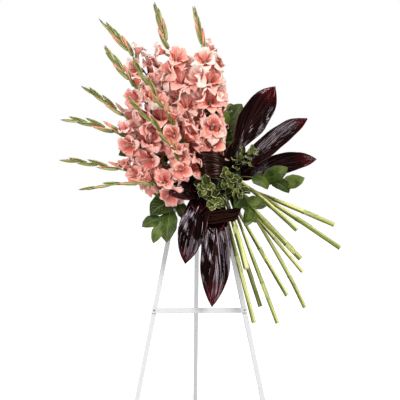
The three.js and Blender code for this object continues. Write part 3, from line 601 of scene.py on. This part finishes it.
def sheath(skin, origin, heading, tangent, outward, length, radius, tint, wrap):
    """A green bract: half a pointed tube that opens towards the stem."""
    s, v = np.linspace(0, 1, 13), np.linspace(-1, 1, 9)
    axis = arched(origin, heading, tangent, length, s, 0.35)
    profile = np.interp(s, [0, 0.15, 0.4, 0.65, 0.85, 1], [0.66, 0.92, 1, 0.84, 0.5, 0.05])
    out, side = square_to(np.broadcast_to(heading, axis.shape), outward)
    angle = mix(wrap, wrap * 0.45, s ** 1.5)[:, None] * v
    keel = 1 + 0.22 * np.exp(-(v / 0.14) ** 2)
    grid = around(axis, out, side, angle, radius * profile[:, None] * keel, 0.86)
    skin.slab(grid[:, ::-1], 0.5, painting(s, v, tint, 0)[:, ::-1], look=1)


def furled(skin, origin, heading, tangent, length, radius, tint, tone, look=2, steps=14):
    """The rolled petals of a bud, with a slow twist, or its green heart."""
    s = np.linspace(0, 1, steps)
    line = arched(origin, heading, tangent, length, s, 0.3)
    profile = np.interp(s, [0, 0.2, 0.55, 0.85, 1], [0.5, 0.85, 1.0, 0.85, 0.2])
    skin.tube(line, radius * profile, steps, (tint, tone), look,
              shape=lambda angle, share: 1 + 0.13 * np.cos(3 * angle + 5 * share))


BACK_TURN = 1.65  # how far the florets behind are turned from the front, in radians
BACK_LEAN = 0.95  # and how far they lean off the stem
BACK_SIZE = 1.1
OUTER_BRACT, INNER_BRACT, BACK_BRACT = (46, 7.4), (40, 7.0), (44, 7.0)  # length and radius
BUD_LENGTHS, BUD_RADII = (94, 72), (9.2, 6.2)  # of the lowest bud and of the highest
GREEN_HEART = (0.2, 0, 1, 10)  # tint, tone, look and steps of a bud that shows no petals
SHOWING_BUDS = 2
TIP_BUD = 0.885  # where the last bud starts, as a share of the spike


def spike(name, root, tip, bow, face, florets, buds, seed, first, tone):
    """A spike: open florets in two ranks with more behind them, then ever smaller buds."""
    curve = Bow(root, tip, bow)
    low, high, count = florets
    petals, greens = Skin(), Skin()

    def seat(t, angle, lean):
        """A place on the stem with a heading there and the stem's own, and the side leant to."""
        tangent = curve.along(t)
        front, side = square_to(tangent, face)
        out = front * math.cos(angle) + side * math.sin(angle)
        return (curve.at(t), tangent * math.cos(lean) + out * math.sin(lean), tangent), out

    def rank(i, turn, loose):
        """An angle to one side and to the other by turns."""
        return (-first if i % 2 else first) * turn + (chance(seed, i) - 0.5) * loose

    for i in range(1, count):
        t = mix(high, low, (i + 0.5) / (count - 1))
        angle = BACK_TURN * (1 if i % 2 else -1) + (chance(seed + 7, i) - 0.5) * 0.5
        place, out = seat(t, angle, BACK_LEAN)
        own = seed * 10 + 100 + i
        # The florets behind are painted mauver than the spike's tone, as painted shade.
        floret(petals, *place, BACK_SIZE, mix(0.75, 0.95, chance(own, 1)), own, tone * 0.6)
        sheath(greens, *place, out, *BACK_BRACT, chance(own, 9) * 0.6, 2.0)
    for i in range(count):
        t = mix(high, low, i / (count - 1))
        grown, settled = min(1, i / 2), min(1, i / 3)
        lean = mix(0.66, 1.08, settled) + (chance(seed + 3, i) - 0.5) * 0.7
        place, out = seat(t, rank(i, mix(1.0, 0.64, settled), 0.8), lean)
        size = mix(0.78, 1.10, grown) * mix(0.95, 1.07, chance(seed + 5, i))
        own = seed * 10 + i
        warm = tone + (chance(own, 5) - 0.5) * 0.5
        floret(petals, *place, size, mix(0.72, 1, grown), own, warm)
        sheath(greens, *place, out, *OUTER_BRACT, chance(own, 9) * 0.6, 2.0)
        sheath(greens, *place, -out, *INNER_BRACT, chance(own, 8) * 0.6, 1.7)
    for i in range(buds):
        up = i / (buds - 1)
        t = mix(high + 0.04, 0.90, up ** 0.9)
        place, out = seat(t, rank(i, 1.35, 0.4), mix(0.26, 0.12, up))
        length, radius = mix(*BUD_LENGTHS, up), mix(*BUD_RADII, up)
        own = seed * 10 + i
        sheath(greens, *place, out, length, radius, chance(own, 3), 1.85)
        sheath(greens, *place, -out, length * 0.66, radius * 0.8, chance(own, 4), 1.5)
        if i < SHOWING_BUDS:
            showing = mix(1.02, 0.9, i / SHOWING_BUDS) * mix(0.94, 1.06, chance(own, 2))
            furled(greens, *place, length * showing, radius * 0.74, chance(own, 6), tone)
        else:
            furled(greens, *place, length * 0.93, radius * 0.8, *GREEN_HEART)
    share = np.linspace(0, 1, 60)
    zigzag = 1 + 0.05 * np.sin(share * (count + buds) * math.pi * 2)
    # The stem's painted highlight faces the viewer, with painted shade down its flanks.
    greens.tube(curve.at(share), SPIKE_SHARE * mix(STEM_ROOT_R, STEM_TIP_R, share ** 1.3) * zigzag,
                12, (chance(seed, 1), 0.0))
    ahead = curve.along(mix(TIP_BUD, 1, 0.7))
    place = curve.at(TIP_BUD), ahead, ahead
    length = (1.003 - TIP_BUD) * curve.length
    furled(greens, *place, 0.95 * length, 4.2, *GREEN_HEART)
    across = square_to(ahead, face)[1]
    for side in (across, -across):
        sheath(greens, *place, side, length, 4.9, 0.2, 1.9)
    petals.piece(name + "_florets", [PETAL, FILAMENT, ANTHER], FRONT, "gladiolus", [name])
    greens.piece(name + "_stem", [SPIKE_STEM, BRACT, BUD], FRONT, "cut_stem", [name])


# Each row: root, tip, how far the middle bows aside, the way the florets face, where the lowest
# and the highest open floret sit and how many there are, buds, seed, the side of the first
# floret, and the tone, from mauve at 0 to coral at 1. The low tones of the spikes on the left
# are painted shade.
SPIKES = {
    "gladiolus_top": ((22, -112, 1122), (-179, -140, 1836), (4, -6, 4), (-0.1, -1, 0),
                      (0.17, 0.7, 9), 5, 1, -1, 0.85),
    "gladiolus_top_right": ((44, -95, 1124), (-27, -190, 1810), (31, -8, 0), (0.7, -1, 0),
                            (0.13, 0.7, 11), 5, 2, 1, 1.0),
    "gladiolus_upper_left": ((0, -92, 1126), (-405, -60, 1783), (30, 10, 38), (0.2, -1, 0.1),
                             (0.34, 0.7, 7), 6, 3, 1, 0.35),
    "gladiolus_left_high": ((-26, -118, 1124), (-375, -220, 1642), (12, -16, 8), (0, -1, 0.1),
                            (0.33, 0.66, 6), 5, 4, 1, 0.65),
    "gladiolus_front_high": ((2, -122, 1106), (-258, -370, 1569), (16, 0, 10), (0.1, -1, 0.3),
                             (0.17, 0.47, 5), 5, 5, 1, 0.9),
    "gladiolus_left_mid": ((-50, -95, 1126), (-465, -70, 1504), (14, 0, 18), (0, -1, 0.2),
                           (0.28, 0.54, 5), 6, 6, 1, 0.25),
    "gladiolus_front_low": ((-32, -124, 1098), (-267, -440, 1408), (14, -44, 26),
                            (0.3, -1, 0), (0.13, 0.34, 3), 5, 7, 1, 0.9),
    "gladiolus_left": ((-62, -120, 1122), (-528, -250, 1356), (0, -14, 54), (0, -1, 0),
                       (0.26, 0.52, 4), 6, 8, 1, 0.4),
    "gladiolus_left_low": ((-60, -108, 1098), (-535, -170, 1204), (0, 0, 12), (0, -1, 0.2),
                           (0.16, 0.42, 4), 6, 9, 1, 0.75),
    "gladiolus_bottom": ((-56, -138, 1080), (-440, -290, 1084), (0, -12, 26), (0, -0.45, 1),
                         (0.14, 0.31, 3), 5, 10, 1, 0.7),
}
for name, sizes in SPIKES.items():
    spike(name, *sizes)


# Cut stems

# Each row: root, tip, bow, radius, and the place of the swollen joint.
CUT_STEMS = {
    "stem_1": ((134, -114, 1112), (541, -160, 944), (0, 0, 4), 7, 0.7),
    "stem_2": ((136, -124, 1134), (556, -210, 854), (0, 0, 4), 7, 0.6),
    "stem_3": ((122, -134, 1150), (376, -270, 927), (4, 0, 6), 7, 0.5),
    "stem_4": ((120, -140, 1104), (398, -220, 812), (0, 0, 2), 8, 0.8),
    "stem_5": ((130, -113, 1090), (416, -142, 755), (0, 0, 2), 5.5, 0.6),
    "stem_6": ((146, -126, 1086), (417, -200, 617), (14, 0, 4), 6, 0.75),
    "stem_7": ((112, -120, 1078), (349, -180, 663), (0, 0, 0), 6.5, 0.55),
    "stem_8": ((112, -144, 1085), (303, -250, 562), (0, 0, 0), 6, 0.7),
    "stem_9": ((96, -124, 1080), (242, -190, 621), (0, 0, 0), 6.5, 0.65),
    "stem_10": ((82, -138, 1085), (210, -260, 566), (0, 0, 0), 6.5, 0.5),
    "stem_11": ((98, -158, 1070), (179, -290, 778), (4, 0, 0), 9, 0.45),
}
JOINT_SPAN = 0.009  # as a share of the stem
# Painted highlight: cut stems are painted lighter on the side towards the key light, up and to the
# right, and darker on their flanks as painted shade.
PAINTED_HIGHLIGHT_SIDE = (0.7, -1, 0.5)  # where a stem's pale front looks


def stem_growth(share):
    """A stem's girth against its construction radius: slim in the foam, full at the cut end."""
    return mix(0.95, 1.34, smooth(0.2, 0.6, share))


def cut_stem(name, root, tip, bow, radius, joint):
    """A bare stem with swollen joints, a scrap of leaf sheath and a fresh cut end."""
    curve = Bow(root, tip, bow)
    skin = Skin()
    seed = int(name.split("_")[1])
    lesser = joint - 0.3
    share = np.unique(np.concatenate([
        np.linspace(0, 1, 56), joint + np.linspace(-2, 2, 9) * JOINT_SPAN,
        lesser + np.linspace(-2, 2, 9) * JOINT_SPAN, [0.996]]))
    knot = np.exp(-((share - joint) / JOINT_SPAN) ** 2)
    small = np.exp(-((share - lesser) / JOINT_SPAN) ** 2)
    above = smooth(joint, joint + JOINT_SPAN, share) * 0.03
    size = radius * stem_growth(share) * (1 + 0.14 * knot + 0.07 * small - above)
    size = size * (1 + 0.012 * np.sin(share * 23 + seed))
    size[-1] *= 0.94
    dark = np.clip(knot + 0.8 * small, 0, 1)
    skin.tube(curve.at(share), size, 16, (chance(seed, 2), dark * 0.5), wish=PAINTED_HIGHLIGHT_SIDE,
              end_look=1, shape=lambda angle, run: 1 + 0.02 * np.cos(5 * angle))

    # The scrap of sheath, wrapped round the stem above the joint
    s, v = np.linspace(0, 1, 14)[:, None], np.linspace(-1, 1, 12)
    run = joint + 0.13 * s[:, 0]
    u, w = square_to(curve.along(run), TO_VIEWER)
    angle = chance(seed, 7) * PHASE + mix(2.4, 0.25, s ** 1.4) * v + 0.3 * s
    off = radius * stem_growth(run)[:, None] * (1.05 + 0.06 * s ** 3 * v ** 2)
    grid = around(curve.at(run), u, w, angle, off)
    skin.slab(grid[:, ::-1], 0.3, painting(s, v, 0, 0), look=2)
    skin.piece(name + "_stalk", [CUT_STEM, PITH, SHEATH], FRONT, "cut_stem", [name])


for name, sizes in CUT_STEMS.items():
    cut_stem(name, *sizes)


# Broad blades

def blade(skin, curve, face, half, lift, rows, columns, tint, start):
    """A blade across a midrib curve, from start on, with its upper side towards face.

    half and lift give its half width and its relief.
    """
    s = np.linspace(0, 1, rows + 1)
    v = np.linspace(1, -1, columns + 1)
    t = mix(start, 1, s)
    normal, side = square_to(curve.along(t), face)
    wide = half(s)[:, None]
    grid = (curve.at(t)[:, None] + side[:, None] * (wide * v)[..., None]
            + normal[:, None] * lift(s[:, None], v, wide)[..., None])
    skin.slab(grid, LEAF_THICK, painting(s, v, tint, 1), painting(s, v, tint, 0))


def ti_outline(s, slender):
    """Half the width as a share of its greatest. A higher slender makes a slimmer base."""
    return np.where(s < 0.5, np.maximum(np.sin(np.pi * s), 0.03) ** slender,
                    np.maximum(1 - np.abs(2 * s - 1) ** 2.7, 0.012))


# Each row: root, tip, bow, face, width, where the blade starts, how sharply it is folded and,
# where they matter, how deeply it is cupped and how slender its base is.
TI_LEAVES = {
    "ti_leaf_upright": ((104, -126, 1128), (301, -180, 1497), (-20, -28, 4),
                        (0.25, -1, 0.15), 118, 0.25, 0.14, 0.25, 1.1),
    "ti_leaf_right_high": ((130, -104, 1136), (422, -230, 1365), (6, -10, 12),
                           (-0.57, -0.78, 0.31), 106, 0.1, -0.05, 0.25),
    "ti_leaf_right": ((150, -102, 1128), (467, -180, 1207), (0, -30, 14), (0.1, -1, 0.35),
                      88, 0.2, 0.2),
    "ti_leaf_down": ((62, -140, 1096), (46, -250, 626), (10, -20, 0), (-0.12, -1, 0.1), 118,
                     0.14, 0.12),
    "ti_leaf_down_left": ((28, -140, 1116), (-58, -240, 793), (-4, -34, 0), (-0.3, -1, 0.1),
                          108, 0.1, 0.3),
    "ti_leaf_left": ((10, -140, 1086), (-122, -240, 1066), (0, -26, 8), (-0.1, -1, 0.5), 108,
                     0.2, 0.2),
}
CLASP_SHARE = 0.68  # the width of the part that clasps the stalk, as a share of the blade's


def ti_leaf(name, seed, root, tip, bow, face, width, start, fold, cup=0.0, slender=0.52):
    """A long creased blade with slanting pleats, on a firm stalk."""
    curve = Bow(root, tip, bow)
    skin = Skin()
    phase = [PHASE * chance(seed, k) for k in range(4)]

    def half(s):
        return width / 2 * ti_outline(s, slender) * (1 + 0.02 * np.sin(17 * s + phase[0]))

    def lift(s, v, wide):
        crease = wide * (fold * (np.sqrt(v * v + 0.01) - 0.1) + cup * v * v)
        sway = 0.045 * width * np.sin(6.4 * s + phase[1] + 1.7 * v) * np.abs(v) ** 1.3
        ruffle = 0.016 * width * np.sin(15 * s + phase[2] * np.sign(v)) * np.abs(v) ** 3
        dent = 0.013 * width * np.sin(23 * s + 5 * v + phase[3]) * np.sin(4.4 * v + phase[1])
        rank = np.abs(v) - 0.8 * s
        pleat = (0.6 * np.sin(40 * rank) + 0.4 * np.sin(27 * rank + phase[0])) * np.abs(v) ** 0.5
        margin = 0.16 * wide * np.maximum(v, 0) ** 3 * smooth(0.4, 0.75, s)
        fine = pleat * smooth(0, 0.15, s) * smooth(1, 0.85, s)
        return crease + sway + ruffle + dent + margin + fine

    def clasp(s):
        return CLASP_SHARE * width / 2 * np.maximum(1 - np.abs(2 * s - 1) ** 3, 0.03)

    def cupped(s, v, wide):
        return -2 + 0.5 * wide * v * v

    blade(skin, curve, face, half, lift, 72, 48, chance(seed, 9), start)
    blade(skin, Bow(root, curve.at(0.42), 0.2 * np.array(bow)), face, clasp, cupped, 24, 12,
          chance(seed, 8), 0.1)
    share = np.linspace(0, start * 1.6, 14)
    skin.tube(curve.at(share), np.linspace(3.6, 1.6, 14), 10, (0.5, 1.0))
    skin.piece(name + "_blade", [TI], FRONT, "ti_leaf", [name])


for seed, (name, sizes) in enumerate(TI_LEAVES.items(), 40):
    ti_leaf(name, seed, *sizes)

# Each leaf's root, and stations of a centre and a half width.
FOLDED_TI_LEAVES = {
    "ti_leaf_roll": ((94, -140, 1150), [
        ((96, -166, 1160), (0, 0, 22)), ((100, -200, 1168), (0, 4, 40)),
        ((88, -232, 1176), (-4, 6, 48)), ((50, -246, 1182), (-6, 8, 52)),
        ((12, -238, 1184), (-8, 8, 50)), ((-6, -206, 1182), (-8, 4, 44)),
        ((2, -172, 1176), (-4, 2, 32))]),
    "ti_leaf_band": ((125, -147, 1083), [
        ((136, -174, 1062), (14, -2, 8)), ((150, -206, 1026), (18, -4, 8)),
        ((158, -222, 1000), (10, -2, 20)), ((140, -228, 988), (0, -2, 24)),
        ((96, -232, 982), (-2, -2, 25)), ((54, -230, 976), (-2, -2, 25)),
        ((22, -226, 974), (0, 0, 20)), ((4, -222, 976), (0, 0, 3))]),
}


def folded_ti_leaf(name, seed, root, stations):
    """A ti leaf bent over on itself, with its underside out."""
    run = through([(*centre, *half) for centre, half in stations], 61)
    centres, halves = run[:, :3], run[:, 3:]
    s, v = np.linspace(0, 1, 61)[:, None], np.linspace(-1, 1, 25)
    grid = centres[:, None] + halves[:, None] * v[:, None]
    pleat = 0.5 * np.sin(24 * (np.abs(v) - 1.1 * s))
    crease = 2.5 * np.exp(-(v / 0.12) ** 2)
    grid = grid + normals(grid) * (pleat - crease)[..., None]
    skin = Skin()
    skin.slab(grid, LEAF_THICK, painting(0.75 * s, v, chance(seed, 9), 1))
    stem = through([root, stations[0][0], stations[1][0]], 12)
    skin.tube(stem, np.linspace(3.6, 1.4, 12), 10, (0.5, 1.0))
    skin.piece(name + "_blade", [TI_UNDER], FRONT, "ti_leaf", [name])


for seed, (name, sizes) in enumerate(FOLDED_TI_LEAVES.items(), 50):
    folded_ti_leaf(name, seed, *sizes)


# Sprigs

@dataclass
class Plant:
    """What all the sprigs of one plant share."""
    looks: list
    slot: str
    twig: float  # radius at the root
    turn: float  # angle round the twig from each leaf to the next
    stand: float  # lean of the leaves towards the side that the sprig faces
    lift: float  # lean of their upper sides towards the twig's tip
    wave: float  # height of the edge's waves, as a share of the width
    waves: float  # and how close they follow each other
    widest: float  # where a leaf is widest, as a share of its length
    point: float  # fullness of its tip
    longer: float  # how much longer the leaves are than the construction's
    wider: float
    grid: tuple  # a leaf's rows and columns


def ovate(s, widest, point):
    """A leaf's half width as a share of its greatest, round at the base, pointed at the tip."""
    base = np.sin(np.pi / 2 * np.clip(s / widest, 0.03, 1)) ** 0.65
    end = 1 - np.clip((s - widest) / (1 - widest), 0, 1) ** point
    return np.maximum(np.where(s < widest, base, end), 0.02)


def leaf(skin, plant, seed, i, start, heading, size, wide, upward, bend):
    """One leaf of a sprig, on a short stalk."""
    line = Bow(start, start + heading * size, bend)
    phase = PHASE * chance(seed + 2, i)

    def half(s):
        outline = ovate(s, plant.widest, plant.point)
        return wide * outline * (1 + 0.03 * np.sin(21 * s + phase))

    def lift(s, v, span):
        crease = span * 0.18 * (np.sqrt(v * v + 0.02) - 0.14)
        ripple = 2 * wide * plant.wave * np.sin(plant.waves * s + v + phase) * np.abs(v) ** 1.6
        veins = np.sin(SIDE_VEINS * (s - VEIN_SLANT * np.abs(v))) * np.abs(v) * (1 - v * v)
        return crease + ripple + 0.006 * size * veins - 0.05 * size * smooth(0.6, 1, s) ** 2

    blade(skin, line, upward, half, lift, *plant.grid, chance(seed + 4, i), 0.1)
    skin.tube(line.at(np.linspace(0, 0.16, 5)), [0.9, 0.9, 0.85, 0.8, 0.6], 6, (0.5, 0.0), 1)


def placed_leaves(curve, face, seed, leaves):
    """Leaves set one by one, each by its share of the twig, its tip and its width."""
    for i, (t, end, across) in enumerate(leaves):
        start = curve.at(t)
        reach = np.array(end, float) - start
        size = np.linalg.norm(reach)
        upward = face + (0.5 * (chance(seed, i) - 0.5), 0, 0.4 * chance(seed + 1, i))
        yield start, reach / size, size, across / 2, upward, (0, -0.05 * size, 0.04 * size)


def grown_leaves(plant, curve, face, seed, rule):
    """Leaves by turns up the twig, and lesser ones that fill in between them.

    The rule is how many there are of each, the length and width of the construction's leaves,
    the place of the first one, and how far the leaves spread.
    """
    count, lesser, length, width, first, spread = rule
    length, width = length * plant.longer, width * plant.wider
    for i in range(count + lesser):
        main = i < count
        k = i if main else (i - count + 0.5) * count / lesser
        t = mix(first if main else 0.55 * first, 0.97, min(1, k / (count - 1)))
        tangent = curve.along(t)
        u, v = square_to(tangent, face)
        angle = math.pi / 2 + k * plant.turn + (chance(seed, i) - 0.5) * 0.5
        out = u * math.cos(angle) + v * math.sin(angle)
        lean = mix(spread, spread * 0.55, k / count)
        heading = unit(tangent * math.cos(lean) + out * math.sin(lean) + face * plant.stand)
        size = length * mix(1.05, 0.8, k / count) * mix(0.9, 1.1, chance(seed + 1, i))
        size = size * (1 if main else 0.85)
        upward = face + tangent * plant.lift - 0.2 * out
        bend = -0.06 * size * out + 2 * tangent
        yield curve.at(t), heading, size, size * width / length / 2, upward, bend


def sprig(plant, name, root, tip, bow, face, seed, leaves):
    """A leafy twig. leaves is a list of placed ones, or the rule that they grow by."""
    curve, face = Bow(root, tip, bow), np.array(face, float)
    skin = Skin()
    share = np.linspace(0, 1, 24)
    radii = TWIG_SHARE * mix(plant.twig, plant.twig * 0.5, share)
    skin.tube(curve.at(share), radii, 8, (0.5, 0.0), 1)
    if isinstance(leaves, list):
        shapes = placed_leaves(curve, face, seed, leaves)
    else:
        shapes = grown_leaves(plant, curve, face, seed, leaves)
    for i, shape in enumerate(shapes):
        leaf(skin, plant, seed, i, *shape)
    skin.piece(name + "_leaves", plant.looks, FRONT, plant.slot, [name])


SALAL_PLANT = Plant([SALAL, TWIG], "salal_leaf", twig=2.6, turn=math.pi, stand=0.3, lift=0.1,
                    wave=0.02, waves=9, widest=0.46, point=2.5, longer=1.3, wider=1.04,
                    grid=(26, 14))
PITTOSPORUM_PLANT = Plant([PITTOSPORUM, TWIG], "pittosporum_leaf", twig=2, turn=2.4, stand=0,
                          lift=1, wave=0.10, waves=13, widest=0.55, point=2.6, longer=1.22,
                          wider=1.22, grid=(20, 10))

# Each row: root, tip, bow, face, seed and leaves.
SALAL_SPRIGS = {
    "salal_upright": ((82, -104, 1128), (132, -150, 1400), (-4, 0, 0), (0.1, -1, 0.1), 21, [
        (0.80, (170, -165, 1428), 66), (0.62, (166, -172, 1362), 54),
        (0.45, (162, -186, 1306), 50), (0.70, (90, -185, 1402), 52),
        (0.50, (84, -190, 1334), 50), (0.35, (126, -190, 1276), 44),
        (0.92, (126, -150, 1432), 52), (0.72, (10, -98, 1412), 98)]),
    "salal_right": ((150, -120, 1140), (318, -200, 1112), (0, -6, 6), (0, -1, 0.3), 22,
                    (4, 4, 92, 58, 0.34, 0.55)),
    "salal_lower_right": ((150, -146, 1098), (196, -206, 1016), (4, -8, 4), (0.2, -1, 0.2), 23,
                          (3, 4, 84, 54, 0.34, 0.85)),
    "salal_lower_left": ((-70, -130, 1068), (-160, -200, 938), (-8, -8, 4), (-0.1, -1, 0.2), 24, [
        (0.10, (-189, -170, 1078), 60), (0.15, (-196, -214, 990), 92),
        (0.20, (-52, -180, 962), 46), (0.60, (-166, -176, 908), 46),
        (0.75, (-229, -206, 940), 50), (0.80, (-183, -216, 874), 44),
        (0.42, (-133, -222, 878), 78)]),
    "salal_left": ((-76, -92, 1146), (-240, -90, 1240), (0, 4, 10), (0, -1, 0.2), 25,
                   (4, 4, 84, 54, 0.34, 0.85)),
}
for name, sizes in SALAL_SPRIGS.items():
    sprig(SALAL_PLANT, name, *sizes)

# Each row: root, tip, number of main leaves and seed.
PITTOSPORUM_SPRIGS = {
    "pittosporum_centre": ((90, -142, 1112), (112, -250, 1124), 8, 31),
    "pittosporum_left": ((46, -142, 1104), (24, -256, 1090), 6, 32),
    "pittosporum_low": ((74, -150, 1088), (60, -250, 1036), 6, 33),
    "pittosporum_right": ((108, -144, 1112), (158, -240, 1080), 6, 34),
    "pittosporum_high": ((108, -136, 1152), (203, -206, 1230), 6, 35),
}
for name, (root, tip, leaves, seed) in PITTOSPORUM_SPRIGS.items():
    sprig(PITTOSPORUM_PLANT, name, root, tip, (0, 0, 8), (0, 0, 1), seed,
          (leaves, 8, 48, 28, 0.42, 1.15))


# The easel and the holder keep their construction nodes, with finer edges and finishes.

WOOD = plain_look("white_paint", (0.545, 0.545, 0.55), 0.42, 30, 0.03, 0.15, (8, 8, 1))
ZINC = plain_look("zinc", (0.62, 0.63, 0.64), 0.32, 400, 0.12, 0.1, Metallic=1.0)
# The tray and the wet foam are dark green, painted darker still as painted shade under the spray.
TRAY = plain_look("tray_plastic", (0.014, 0.028, 0.016), 0.5, 250, 0.15, 0.1)
FOAM = plain_look("wet_foam", (0.012, 0.030, 0.012), 0.95, 900, 0.45, 1.0)
FINISHES = {
    WOOD: (1.1, ["easel_leg_left", "easel_leg_right", "easel_leg_rear", "easel_rail"]),
    ZINC: (0.3, ["rail_screw_left", "rail_screw_right", "pivot_bolt", "pivot_nut",
                 "washer_outer", "washer_left", "washer_right", "wire_tie_left",
                 "wire_tie_right"]),
    TRAY: (0.6, ["foam_tray"]),
    FOAM: (0.8, ["foam_block"]),
}
for finish, (bevel, nodes) in FINISHES.items():
    for node in nodes:
        part = frame["nodes"][node]
        part.data.materials.clear()
        part.data.materials.append(finish)
        edge = part.modifiers.new("worn_edge", "BEVEL")
        edge.width = bevel * MM
        edge.segments = 2
        edge.limit_method = "ANGLE"
        edge.angle_limit = math.radians(40)


# Stage: a pale floor that turns into the white surroundings, and soft lights. In metres.

SKY_GLOSS, SKY_SEEN, SKY_LIGHT = 0.03, 0.97, 0.42  # the last two are added to the first
CENTRE = (0, -0.15, 1.3)
# Each row: place, aim, width, height and power.
SOFTBOXES = {
    "key": ((2.4, -3.4, 3.2), CENTRE, 1.6, 1.6, 170),
    "fill": ((-3.0, -3.0, 2.0), CENTRE, 1.5, 1.8, 98),
    "top": ((0.3, 1.6, 3.4), CENTRE, 2.0, 1.4, 70),
    "low": ((-1.1, -3.4, 0.3), (0, -0.1, 0.8), 1.6, 0.7, 17),
}


def floor():
    reach = 40
    mesh = bpy.data.meshes.new("floor")
    mesh.from_pydata([(-reach, -reach, 0), (reach, -reach, 0), (reach, reach, 0),
                      (-reach, reach, 0)], [], [(0, 1, 2, 3)])
    ground = added("floor", mesh)
    look = Look("pale_floor", 0.8, Specular_IOR_Level=0.1)
    ray = look.node("LightPath").outputs
    paint = look.blend(ray["Is Glossy Ray"], (0.55, 0.55, 0.55), (0.08, 0.08, 0.08))
    where = look.node("TexCoord").outputs["Object"]
    far = look.node("VectorMath", {0: where}, operation="LENGTH").outputs["Value"]
    glow = look.times(look.ease(far, 0.5, 1.5), ray["Is Camera Ray"])
    look.wire(look.shader, {"Base Color": paint, "Emission Color": (1, 1, 1, 1),
                            "Emission Strength": glow})
    mesh.materials.append(look.material)


def softbox(name, place, aim, wide, high, power):
    data = bpy.data.lights.new(name, "AREA")
    data.shape = "RECTANGLE"
    data.size, data.size_y, data.energy = wide, high, power
    lamp, toward = added(name, data), added(name + "_aim", None)
    lamp.location, toward.location = place, aim
    turn = lamp.constraints.new("TRACK_TO")
    turn.target = toward
    turn.track_axis, turn.up_axis = "TRACK_NEGATIVE_Z", "UP_Y"


def surroundings():
    """White where the camera looks, dimmer as a light, and dimmest in gloss."""
    world = bpy.data.worlds.new("surroundings")
    bpy.context.scene.world = world
    sky = Graph(world, "BACKGROUND")
    ray = sky.node("LightPath").outputs
    level = sky.math("MULTIPLY_ADD", ray["Is Camera Ray"], SKY_SEEN, SKY_GLOSS)
    level = sky.math("MULTIPLY_ADD", ray["Is Diffuse Ray"], SKY_LIGHT, level)
    sky.wire(sky.shader, {"Strength": level, "Color": (1, 1, 1, 1)})


floor()
surroundings()
for name, sizes in SOFTBOXES.items():
    softbox(name, *sizes)
bpy.context.scene.view_settings.view_transform = "Standard"
